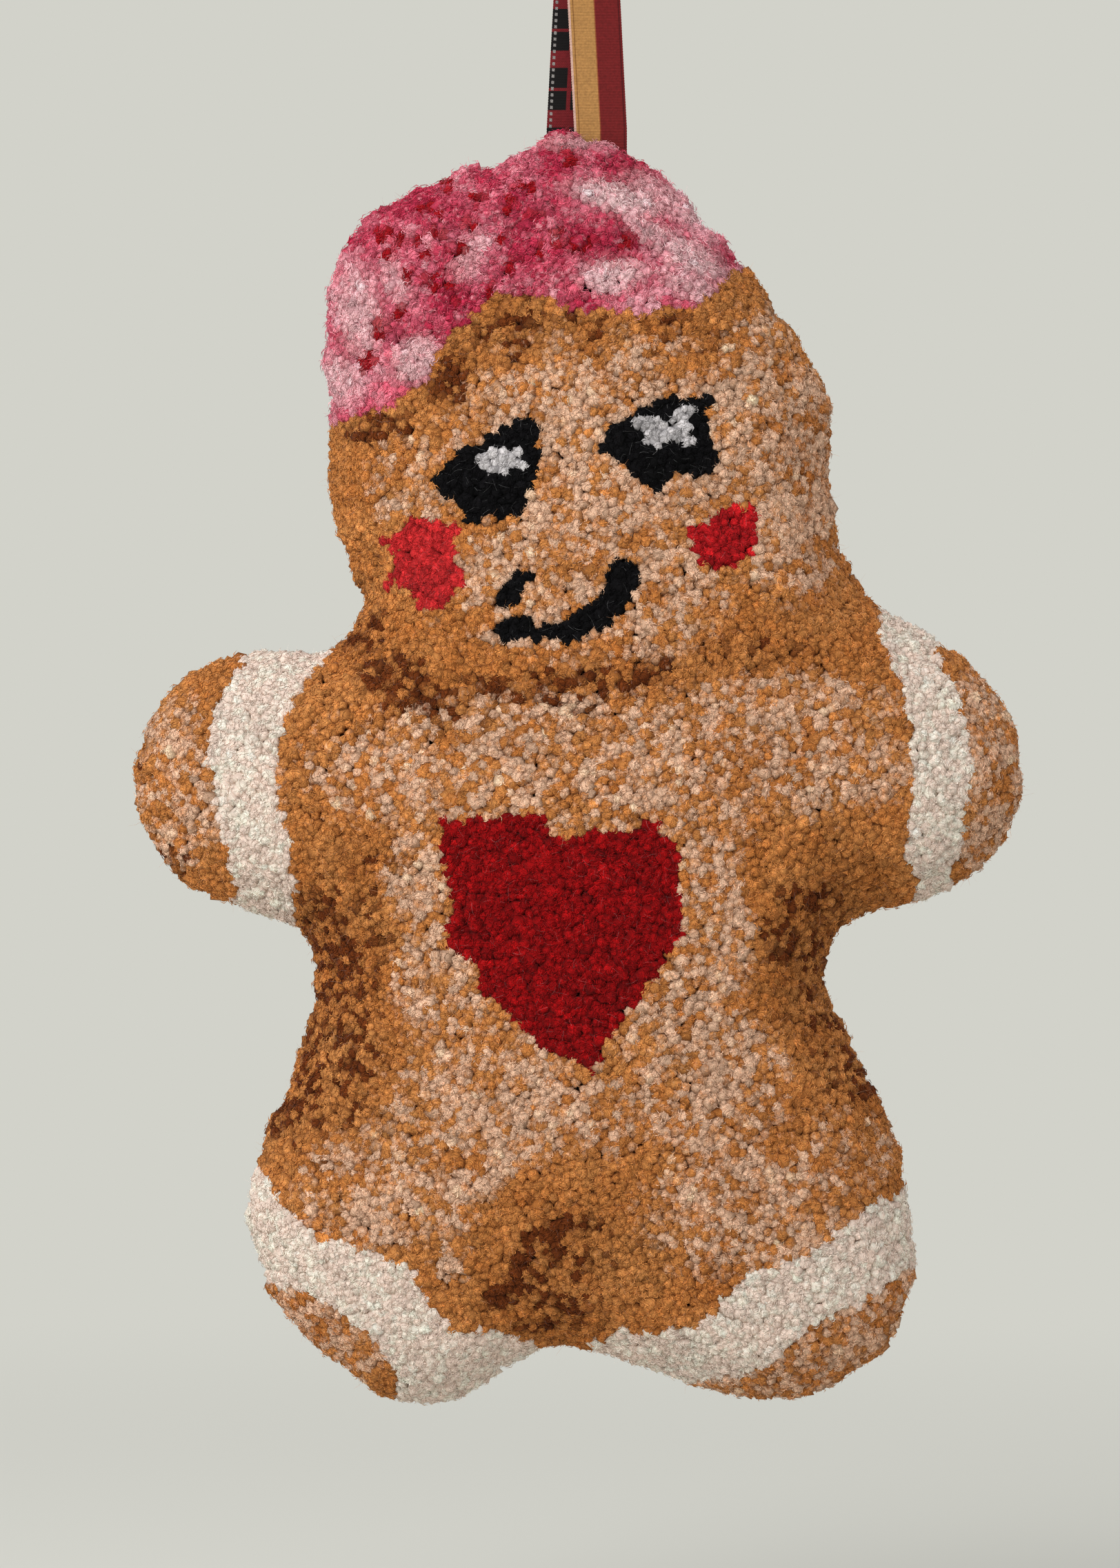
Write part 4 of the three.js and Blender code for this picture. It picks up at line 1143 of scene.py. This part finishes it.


# Wool yarn: each tuft's own colour mingled with its twin's, with painted shade towards its root and painted light at
# its tip and curls, streaked fibre by fibre
def woolYarn(name, sheen, root, grain):
    material, tree, shader = newMaterial(name)
    yarn = addNode(tree, "ShaderNodeAttribute", attribute_name="yarn")
    light = addNode(tree, "ShaderNodeAttribute", attribute_name="tipness")
    place = addNode(tree, "ShaderNodeTexCoord")
    twin = addNode(tree, "ShaderNodeAttribute", attribute_name="twin")
    share = addNode(tree, "ShaderNodeAttribute", attribute_name="share")
    plies = addNode(tree, "ShaderNodeTexNoise", {"Scale": 1000, "Detail": 2})
    mingled = addNode(tree, "ShaderNodeMapRange", {"From Min": 0.28, "From Max": 0.72})
    pick = addNode(tree, "ShaderNodeMath", {1: 2}, operation="MULTIPLY_ADD")
    sharpen = addNode(tree, "ShaderNodeMapRange", {"From Min": 0.9, "From Max": 2.1})
    blend = mixColour(tree, "MIX", 0)
    streaks = addNode(tree, "ShaderNodeTexNoise", {"Scale": 1700, "Detail": 5, "Roughness": 0.7, "Distortion": 1.4})
    tone = addNode(tree, "ShaderNodeMapRange", {
        "From Min": 0.35, "From Max": 0.65, "To Min": 1 - 0.2 * grain, "To Max": 1 + 0.2 * grain,
    })
    fibres = addNode(tree, "ShaderNodeTexWave", {
        "Scale": 1500, "Distortion": 24, "Detail": 2, "Detail Scale": 0.5,
    }, wave_type="BANDS", bands_direction="DIAGONAL")
    strand = addNode(tree, "ShaderNodeMapRange", {"To Min": 1 - 0.18 * grain, "To Max": 1 + 0.18 * grain})
    stranded = addNode(tree, "ShaderNodeMath", operation="MULTIPLY")
    rise = addNode(tree, "ShaderNodeMath", operation="ADD")
    # painted light and shade: each point lightened or darkened by its painted lightness
    lift = addNode(tree, "ShaderNodeMapRange", {"From Min": 0.6, "From Max": 1.5, "To Min": 0.82, "To Max": 1.3})
    lifted = addNode(tree, "ShaderNodeMath", operation="MULTIPLY")
    # painted shade: the root tint mixed in towards each tuft's root
    shade = mixColour(tree, "MIX", 0, {mixA: (*root, 1), mixB: (1, 1, 1, 1)})
    mottled = mixColour(tree, "MULTIPLY", 1)
    shaded = mixColour(tree, "MULTIPLY", 1)
    bump = addNode(tree, "ShaderNodeBump", {"Strength": 0.6, "Distance": 0.00012})
    joinSockets(
        tree,
        (place, "Object", streaks, "Vector"),
        (streaks, "Fac", tone, "Value"),
        (place, "Object", fibres, "Vector"),
        (fibres, "Fac", strand, "Value"),
        (strand, "Result", stranded, 0),
        (tone, "Result", stranded, 1),
        (fibres, "Fac", rise, 0),
        (streaks, "Fac", rise, 1),
        (light, "Fac", shade, "Factor"),
        (place, "Object", plies, "Vector"),
        (plies, "Fac", mingled, "Value"),
        (mingled, "Result", pick, 2),
        (share, "Fac", pick, 0),
        (pick, 0, sharpen, "Value"),
        (sharpen, "Result", blend, "Factor"),
        (yarn, "Color", blend, mixA),
        (twin, "Color", blend, mixB),
        (blend, mixResult, mottled, mixA),
        (light, "Fac", lift, "Value"),
        (stranded, 0, lifted, 0),
        (lift, "Result", lifted, 1),
        (lifted, 0, mottled, mixB),
        (mottled, mixResult, shaded, mixA),
        (shade, mixResult, shaded, mixB),
        (shaded, mixResult, shader, "Base Color"),
        (rise, 0, bump, "Height"),
        (bump, 0, shader, "Normal"),
    )
    setInputs(shader, {"Roughness": 0.95, "Specular IOR Level": 0.12, "Sheen Weight": sheen, "Sheen Roughness": 0.5})
    return material


# Smooth unevenness from a seeded lattice, between 0 and 1
def patchNoise(x, z, cell, seed):
    size, shift = 256, 900  # side of the lattice, and a shift that keeps places above zero
    lattice = np.random.default_rng(seed).random((size, size))
    u, v = x / cell + shift, z / cell + shift
    i, j = np.floor(u).astype(int), np.floor(v).astype(int)
    return between(lattice, i % (size - 1), j % (size - 1), eased(u - i), eased(v - j))


# Patches at some scales, each with its share, cell and seed, and the rest of each tuft's value drawn for it
def patchMix(x, z, layers, draw):
    value = sum(share * patchNoise(x, z, cell, seed) for share, cell, seed in layers)
    return value + (1 - sum(layer[0] for layer in layers)) * draw.random(len(x))


# How far points lie in any of some soft ovals, each x, z, half width, half height in mm, tilt and amount
def inOvals(x, z, ovals, soft):
    share = np.zeros(len(x))
    for middleX, middleZ, halfX, halfZ, tilt, amount in ovals:
        turn = math.radians(tilt)
        right, up = x * 1000 - middleX, z * 1000 - middleZ
        u = (right * math.cos(turn) + up * math.sin(turn)) / halfX
        v = (up * math.cos(turn) - right * math.sin(turn)) / halfZ
        near = np.clip((1 + soft - np.hypot(u, v)) / (2 * soft), 0, 1)
        share = np.maximum(share, amount * eased(near))
    return share


# Ginger ground: tan yarn, flecked with cream where two yarns were tufted together, brown yarn mixed with painted
# shade in the creases, under the chin and along the flanks
ginger = {
    "tan": paint(223, 154, 88),
    "amber": paint(201, 124, 59),
    "cream": paint(242, 200, 169),
    "brown": paint(116, 57, 21),
    "ambered": [(0.6, 0.006, 21)],  # layers of patches: share, cell and seed
    "crumbs": [(0.2, 0.003, 24)],
    "clumps": [(0.24, 0.0034, 22), (0.32, 0.0019, 23)],
    "brownSoft": 0.9,  # softness of the browned ovals
    "brownGain": 1.2,
    "brownMost": 0.72,
    "brownEdge": 0.25,  # how gradually tufts turn from tan to brown
    "brownWash": 0.25,  # least brown of the tan ones there
    "fleckSoft": 0.4,  # softness of the flecked ovals
    "fleckEdge": 0.8,  # how gradually tufts turn to cream
    "fleckFade": 0.3,  # thinly flecked places have less of it
    "flecked": [
        (5, -112, 31, 21, 0, 0.55), (36, -112, 13, 26, 8, 0.62), (0, -137, 27, 14, 0, 0.55),
        (-33, -118, 9, 9, 0, 0.4), (2, -171, 57, 13, 0, 0.52), (35, -160, 22, 7, 0, 0.5), (-31, -192, 7, 8, 0, 0.75),
        (-27, -211, 9, 12, 0, 0.6), (23, -201, 7.5, 18, 0, 0.6), (13, -214, 6, 12, -25, 0.55),
        (-16, -232, 20, 13, 0, 0.58), (23, -231, 14, 15, 0, 0.58), (3, -236, 7, 8, 0, 0.6),
        (-37, -250, 17, 11, 0, 0.58), (-17, -247.5, 9, 2.6, 38, 0.85), (-26, -263, 4, 5, 0, 0.5),
        (30, -254, 19, 13, 0, 0.55), (49, -243, 10, 8, 0, 0.35), (-76, -174, 9, 16, 0, 0.48),
        (75, -171, 9, 20, 0, 0.58), (-50, -279, 13, 8, -35, 0.5), (40, -283, 20, 7, 12, 0.5),
        (55, -272, 9, 10, 0, 0.5),
    ],
    # ovals of brown yarn mixed with painted shade: under the chin, at the neck crease, waist sides, crotch and flank
    # edges
    "browned": [
        (-10, -87, 6, 4, 0, 0.55), (-17, -91, 8, 5, 30, 0.65), (-26, -98, 6, 5, 40, 0.65), (-40, -107, 7, 4, 0, 0.65),
        (6, -88, 27, 6, -4, 0.3), (-41, -147, 4, 6, 0, 0.6), (-36, -155, 6, 5, 0, 0.85), (-29, -160, 6, 4, 0, 0.65),
        (-16, -158, 9, 4, 0, 0.65), (-3, -157, 9, 4.5, 0, 0.8), (9, -153, 6, 4.5, 30, 0.75),
        (-50, -201, 5, 6, 0, 0.85), (-46, -207, 4, 5, 0, 0.75), (-52, -223, 4, 11, 0, 0.6), (-57, -238, 4, 5, 0, 0.7),
        (42, -195, 5, 4, 0, 0.75), (37, -204, 4, 5, 0, 0.7), (50, -223, 5, 13, 8, 0.55), (-4, -257.5, 5, 3, 0, 0.85),
        (-9, -262, 4, 5, -30, 1.0), (-15.4, -268.7, 4, 3, 30, 0.85), (-5, -271.5, 5, 2.5, 0, 0.9),
        (-9.7, -276, 4, 2, 0, 0.7), (-78, -189, 4, 3.5, 0, 0.7), (-84, -166, 2, 5, 0, 0.5),
        (-46, -214, 10, 26, 0, 0.5), (-40, -190, 9, 8, 0, 0.4), (45, -210, 9, 24, 0, 0.42),
        (-4, -264, 13, 13, 0, 0.42), (30, -150, 12, 5, 10, 0.3), (-52, -232, 5, 14, 8, 0.45),
    ],
}

# Icing: mottled pinks with darker sprinkles in clusters and pale patches
icing = {
    "deep": paint(196, 52, 82),
    "pink": paint(224, 108, 130),
    "pale": paint(250, 194, 201),
    "white": paint(255, 232, 230),
    "sprinkle": paint(166, 14, 26),
    "swirls": [(0.45, 0.0065, 31), (0.3, 0.003, 32)],
    "sides": [(0, 0.016, 0.16), (-0.034, -0.008, 0.12)],  # paler from this x over this run, by this much
    "middle": 0.37,  # swirl at which the icing is plain pink
    "deepGain": 4,
    "paleGain": 3.5,
    "paleMost": 0.9,
    "paledSoft": 0.5,  # softness of the paled ovals
    "whiteMost": 0.85,
    "sprinkleSize": 1.7,
    "sprinkleRagged": 0.5,
    "sprinkleEdge": 0.8,
    "twinMost": 0.3,
    "paled": [
        (6, -64, 9, 2.8, -12, 0.95), (5, -79, 6, 3.0, 8, 0.85), (13, -71, 8, 2.2, -35, 0.7),
        (20, -81, 6, 2.4, -20, 0.7), (-43, -86, 4, 8, 10, 0.7), (-32, -95, 5, 4, 30, 0.75), (19, -75, 8, 3, -30, 0.8),
        (15, -64, 8, 2.5, -35, 0.6), (-46, -98, 3, 4, 0, 0.6), (-22, -75, 2.5, 5, -25, 0.5),
        (-2, -53, 6, 1.5, 0, 0.5), (-36, -80, 2.5, 5, 20, 0.5),
    ],
    "sprinkled": [
        (-26.7, -61.3), (-29.4, -65.9), (-19.8, -63.6), (-11.3, -61.7), (-2.8, -56.6), (-9.8, -68.2), (-15.2, -72.1),
        (-9, -74), (-2, -73.6), (8, -72.8), (-30.6, -75.2), (-29, -79), (-35.2, -86), (-38.7, -89), (-41.4, -95.2),
        (-37.5, -75.2), (-17.5, -82.9), (-14.4, -65.1), (-28, -70.5), (-38.5, -71), (-35, -71.8), (-32, -71.8),
        (-34, -78.8), (-5, -71.5), (0.5, -72.2), (-14.4, -76.4), (-25, -82), (-29, -81.2), (-21, -69), (-24, -74),
    ],
}

# Wool and yarn of each plain colour area
glintGrey, faceBlack, bandWhite = paint(206, 201, 201), paint(14, 13, 15), paint(250, 228, 213)
yarns = {
    "left_glint_pile": ("grey_wool", glintGrey),
    "right_glint_pile": ("grey_wool", glintGrey),
    "left_eye_pile": ("black_wool", faceBlack),
    "right_eye_pile": ("black_wool", faceBlack),
    "mouth_pile": ("black_wool", faceBlack),
    "mouth_corner_pile": ("black_wool", faceBlack),
    "left_cheek_pile": ("coral_wool", paint(206, 46, 49)),
    "right_cheek_pile": ("coral_wool", paint(196, 28, 34)),
    "heart_pile": ("red_wool", paint(160, 10, 14)),
    "icing_pile": ("pink_wool", None),  # coloured by icingColours
    "left_arm_band_pile": ("white_wool", bandWhite),
    "right_arm_band_pile": ("white_wool", bandWhite),
    "left_foot_band_pile": ("white_wool", bandWhite),
    "right_foot_band_pile": ("white_wool", bandWhite),
}
plainYarn = {"base": 0.92, "twin": 1.25, "twinMost": 0.96, "shares": (0.05, 0.6), "tone": 0.16, "bandTone": 0.02}

# Sheen of each wool, the tint of the painted shade at its roots and how much its fibres differ
woolFinish = {
    "ginger_wool": (0.02, (0.3, 0.2, 0.12), 1.1),
    "pink_wool": (0.02, (0.78, 0.55, 0.6), 1.0),
    "white_wool": (0.02, (0.99, 0.93, 0.89), 0.35),
    "black_wool": (0.0, (0.6, 0.6, 0.6), 1.0),
    "grey_wool": (0.02, (0.5, 0.5, 0.52), 0.6),
    "coral_wool": (0.02, (0.5, 0.3, 0.3), 1.2),
    "red_wool": (0.02, (0.2, 0.1, 0.1), 1.5),
}


def blendTo(colours, target, share):
    return colours + (np.array(target) - colours) * share[:, None]


# Each tuft's yarn, the yarn twisted with it and how much of that shows
def gingerColours(x, z, draw):
    count = len(x)
    base = np.tile(np.array(ginger["tan"]), (count, 1))
    base = blendTo(base, ginger["amber"], patchMix(x, z, ginger["ambered"], draw))
    # brown yarn and painted shade in the creases
    browned = ginger["brownGain"] * inOvals(x, z, ginger["browned"], ginger["brownSoft"])
    browned = np.minimum(browned, ginger["brownMost"])
    dark = np.clip((browned - patchMix(x, z, ginger["crumbs"], draw)) / ginger["brownEdge"], 0, 1)
    base = blendTo(base, ginger["brown"], np.maximum(dark, ginger["brownWash"] * browned))
    creamy = inOvals(x, z, ginger["flecked"], ginger["fleckSoft"])
    rank = np.argsort(np.argsort(patchMix(x, z, ginger["clumps"], draw))) / count
    share = np.clip((rank - 1 + creamy) / ginger["fleckEdge"] + 0.5, 0, 1)
    share = share * np.clip(creamy / ginger["fleckFade"], 0, 1)
    twin = np.tile(np.array(ginger["cream"]), (count, 1))
    return base, twin, share


def icingColours(x, z, draw):
    count = len(x)
    base = np.tile(np.array(icing["pink"]), (count, 1))
    swirl = patchMix(x, z, icing["swirls"], draw) - icing["middle"]
    for start, run, amount in icing["sides"]:
        swirl -= amount * np.clip((x - start) / run, 0, 1)
    base = blendTo(base, icing["deep"], np.clip(swirl * icing["deepGain"], 0, 1))
    base = blendTo(base, icing["pale"], np.clip(-swirl * icing["paleGain"], 0, icing["paleMost"]))
    paled = inOvals(x, z, icing["paled"], icing["paledSoft"])
    base = blendTo(base, icing["white"], paled * icing["whiteMost"])
    spots = np.array(icing["sprinkled"]) / 1000
    near = np.min(np.hypot(x[:, None] - spots[:, 0], z[:, None] - spots[:, 1]), axis=1) * 1000
    near += draw.normal(0, icing["sprinkleRagged"], count)
    spotted = np.clip((icing["sprinkleSize"] - near) / icing["sprinkleEdge"], 0, 1)
    base = blendTo(base, icing["sprinkle"], spotted)
    twin = np.where((paled > 0.3)[:, None], np.array(icing["pink"]), np.array(icing["pale"]))
    return base, twin, icing["twinMost"] * draw.random(count) * (1 - spotted)


# Pile: tufts spread evenly over the pile's tips, leaning out over the seam
pile = {
    "depth": 0.009,  # canvas to tip
    "rim": 0.0012,  # the same at the outer edge
    "splay": 0.004,  # how far the tips reach out past the seam
    "fanFade": 3,  # how slowly tufts straighten away from that edge
    "margin": 0.0002,  # left free at that outer edge
    "standoff": 0.0003,  # added in front of the canvas's face
    "wander": {"reach": 0.0007, "icing": 0.0012, "icingEnd": -0.104, "fade": 0.006, "cell": 0.0045, "seed": 51},
    "crest": {"middle": -0.001, "half": 0.0095, "rise": 0.0032, "depth": 0.007, "above": -0.07},  # raised by ribbons
    "narrow": [("glint", 0.0004), ("mouth", 0.0005), ("eye", 0.0003)],  # areas that take in tufts this far out
    "drift": {"amount": 0.5, "cell": 0.011, "seeds": (41, 42)},  # tufts that lean together
    "stray": 0.09,  # and each for itself
    "spacing": 0.00115,
    "grid": 0.0004,  # step of the places tried
    "girth": 0.96,
    "girths": (0.78, 1.24),
    "length": 1.0,
    "jitter": 0.00014,
    "tone": {"tuft": 0.1, "band": 0.3, "patch": 0.12, "cell": 0.009, "seed": 43},  # band: share of it on white bands
    "seed": 5,
    "most": 2600,  # tufts in one piece
}


# Tips no closer than the spacing, of all that are tried in turn
def thinOut(tips):
    cells, kept = {}, []
    points = tips.tolist()
    near = [(a, b, c) for a in (-1, 0, 1) for b in (-1, 0, 1) for c in (-1, 0, 1)]
    for k, (i, j, m) in enumerate(np.floor(tips / pile["spacing"]).astype(int).tolist()):
        close = (points[q] for a, b, c in near for q in cells.get((i + a, j + b, m + c), ()))
        if all(math.dist(points[k], other) >= pile["spacing"] for other in close):
            cells.setdefault((i, j, m), []).append(k)
            kept.append(k)
    return kept


# Tips on the rounded surface that the cut pile makes, with their depth in from its edge and their height
def spreadTips(draw):
    grid, splay, wander, crest = pile["grid"], pile["splay"], pile["wander"], pile["crest"]
    low, high = figureMaps.ring.min(0) - splay, figureMaps.ring.max(0) + splay
    x, z = np.meshgrid(np.arange(low[0], high[0], grid), np.arange(low[1], high[1], grid))
    order = draw.permutation(x.size)
    x = x.ravel()[order] + draw.uniform(-0.5, 0.5, x.size) * grid
    z = z.ravel()[order] + draw.uniform(-0.5, 0.5, z.size) * grid
    depth = figureMaps.read(figureMaps.depth, x, z) + splay
    inside = depth > pile["margin"]
    x, z, depth = x[inside], z[inside], depth[inside]
    share = np.clip(depth / pile["depth"], 0, 1)
    height = pile["rim"] + (pile["depth"] - pile["rim"]) * np.sqrt(1 - (1 - share) ** 2)
    y = figureMaps.read(figureMaps.canvas, x, z) - pile["standoff"] - height
    reach = np.where(z > wander["icingEnd"], wander["icing"], wander["reach"])
    reach = reach * np.clip(1 - depth / wander["fade"], 0, 1)
    uneven = (patchNoise(x, z, wander["cell"], wander["seed"]) - 0.5) * 2 * reach
    x = x + uneven * figureMaps.read(figureMaps.outX, x, z)
    z = z + uneven * figureMaps.read(figureMaps.outZ, x, z)
    hump = np.clip(1 - ((x - crest["middle"]) / crest["half"]) ** 2, 0, 1) * np.clip(1 - depth / crest["depth"], 0, 1)
    z = z + np.where(z > crest["above"], crest["rise"] * hump, 0)
    tips = np.column_stack([x, y, z])
    kept = thinOut(tips)
    return tips[kept], depth[kept], height[kept]


# Each tuft's heading: square to the canvas inside, fanned out over the seam at the edge
def tuftLean(tips, depth, height, draw):
    x, z = tips[:, 0], tips[:, 2]
    flat = np.zeros(len(x))
    fields = (figureMaps.tiltX, figureMaps.tiltZ, figureMaps.outX, figureMaps.outZ)
    tiltX, tiltZ, outX, outZ = (figureMaps.read(field, x, z) for field in fields)
    upright = unit(np.column_stack([tiltX, flat - 1, tiltZ]))
    fan = np.clip(pile["splay"] - depth / pile["fanFade"], 0, None)
    lean = unit(upright * height[:, None] + np.column_stack([outX * fan, flat, outZ * fan]))
    drift = pile["drift"]
    driftX, driftZ = (patchNoise(x, z, drift["cell"], seed) - 0.5 for seed in drift["seeds"])
    lean += drift["amount"] * np.column_stack([driftX, flat, driftZ]) + draw.normal(0, pile["stray"], lean.shape)
    return unit(lean)


def pointsMesh(name, tips, attributes):
    mesh = newMesh(name, tips.tolist())
    for label, kind, values in attributes:
        setPoints(mesh, label, kind, values)
    return mesh


# The colour area that a tuft belongs to, by its place on the solids
def ownerAt(tree, owner, names, x, y, z):
    hit = tree.ray_cast((x, -maps["afar"], z), (0, 1, 0))[2]
    found = owner[hit if hit is not None else tree.find_nearest((x, y, z))[2]]
    for word, reach in pile["narrow"]:
        for turn in range(6):
            angle = turn * math.pi / 3
            aside = (x + reach * math.cos(angle), -maps["afar"], z + reach * math.sin(angle))
            hit = tree.ray_cast(aside, (0, 1, 0))[2]
            if hit is not None and word in names[owner[hit]]:
                return owner[hit]
    return found


def plainColours(name, count, draw):
    yarn = np.array(yarns[name][1])
    spread = plainYarn["bandTone" if "band" in name else "tone"]
    tone = np.exp(draw.normal(0, spread, count))[:, None]
    twin = np.minimum(yarn * plainYarn["twin"] * tone, plainYarn["twinMost"])
    return yarn * plainYarn["base"] * tone, twin, draw.uniform(*plainYarn["shares"], count)


# The colours of all tufts, area by area, and each tuft a little lighter or darker
def pileColours(names, node, tips, draw):
    count = len(tips)
    colours, twins, shares = np.zeros((count, 3)), np.zeros((count, 3)), np.zeros(count)
    for k, name in enumerate(names):
        here = node == k
        x, z = tips[here, 0], tips[here, 2]
        if name == "icing_pile":
            made = icingColours(x, z, draw)
        elif name in yarns:
            made = plainColours(name, len(x), draw)
        else:
            made = gingerColours(x, z, draw)
        colours[here], twins[here], shares[here] = made
    tone = pile["tone"]
    bands = [k for k, name in enumerate(names) if "band" in name]
    own = np.exp(draw.normal(0, tone["tuft"], count) * np.where(np.isin(node, bands), tone["band"], 1))
    patch = patchNoise(tips[:, 0], tips[:, 2], tone["cell"], tone["seed"])
    own = (own * (1 + tone["patch"] * (patch - 0.5)))[:, None]
    return np.clip(colours * own, 0, 1), np.clip(twins * own, 0, 1), shares


def plantPile():
    names = sorted(n for n in frame["nodes"] if n.endswith("_pile"))
    tree, owner = treeOf(names)
    draw = np.random.default_rng(pile["seed"])
    tips, depth, height = spreadTips(draw)
    lean = tuftLean(tips, depth, height, draw)
    node = np.array([ownerAt(tree, owner, names, *tip) for tip in tips])
    onIcing = node == names.index("icing_pile")
    tips = tips + lean * draw.normal(0, pile["jitter"], len(tips))[:, None]
    girth = draw.uniform(*pile["girths"], len(tips))
    variety = tuftShape["kinds"]
    kinds = draw.integers(0, variety, len(tips)) + np.where(onIcing, variety, 0)
    colours, twins, shares = pileColours(names, node, tips, draw)
    shapes = []
    for k in range(2 * variety):  # the second half are the icing's
        shapes.append(tuftMesh(f"tuft_{k}", tuftShape["seed"] + k, tuftShape["icingLong"] if k >= variety else 1.0))
    shelf = shapeShelf("tuftShapes", shapes)
    planting = plantingTree()
    finishes = {}
    for k, name in enumerate(names):
        slotName = yarns.get(name, ("ginger_wool",))[0]
        if slotName not in finishes:
            finishes[slotName] = woolYarn(slotName, *woolFinish[slotName])
        rows = np.where(node == k)[0]
        rows = rows[np.argsort(-tips[rows, 2], kind="stable")]
        parts = np.array_split(rows, math.ceil(len(rows) / pile["most"]))
        for number, part in enumerate(parts):
            label = f"{name}_tufts" + (f"_{number + 1}" if len(parts) > 1 else "")
            ones = np.ones(len(part))
            mesh = pointsMesh(label, tips[part], [
                ("yarn", "FLOAT_COLOR", np.column_stack([colours[part], ones])),
                ("twin", "FLOAT_COLOR", np.column_stack([twins[part], ones])),
                ("share", "FLOAT", shares[part]),
                ("lean", "FLOAT_VECTOR", lean[part]),
                ("stout", "FLOAT_VECTOR", np.column_stack([girth[part], girth[part], ones])),
                ("kind", "INT", kinds[part]),
            ])
            piece = newPiece(label, mesh)
            growMesh(piece, planting, Shapes=shelf, Girth=pile["girth"], Length=pile["length"],
                     Seed=pile["seed"] + k, Yarn=finishes[slotName])
            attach(piece, "figure")
            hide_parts(name)
    clearShelf(shelf)
    print("pile:", len(tips), "tufts on", len(names), "colour areas")
    plantHairs(tips, depth, lean, colours, onIcing, planting, finishes["ginger_wool"], draw)


# Loose hairs over the pile, more of them on the icing and along the edge
def plantHairs(tips, depth, lean, colours, onIcing, planting, finish, draw):
    edgeDepth, edgeTimes = hair["edge"]
    chance = np.where(onIcing, hair["icing"], 1.0) * np.where(depth < edgeDepth, edgeTimes, 1.0)
    rows = draw.choice(len(tips), hair["count"], replace=False, p=chance / chance.sum())
    shelf = shapeShelf("hairShapes", [hairMesh(f"hair_{k}", hair["seed"] + k) for k in range(hair["kinds"])])
    share, added = hair["pale"]
    pale = np.clip(colours[rows] * share + added, 0, 1)
    tilt = unit(lean[rows] + draw.normal(0, hair["stray"], (len(rows), 3)))
    size = draw.uniform(*hair["size"], len(rows))
    mesh = pointsMesh("loose_hairs", tips[rows], [
        ("yarn", "FLOAT_COLOR", np.column_stack([pale, np.ones(len(rows))])),
        ("lean", "FLOAT_VECTOR", tilt),
        ("stout", "FLOAT_VECTOR", np.column_stack([size, size, size])),
        ("kind", "INT", draw.integers(0, hair["kinds"], len(rows))),
    ])
    piece = newPiece("loose_hairs", mesh)
    growMesh(piece, planting, Shapes=shelf, Girth=1.0, Length=1.0, Seed=pile["seed"], Yarn=finish)
    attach(piece, "figure")
    clearShelf(shelf)
    print("hairs:", len(rows), "loose hairs")


sewSeam()
print("seam: machine run, two hand runs and the tack")
plantPile()
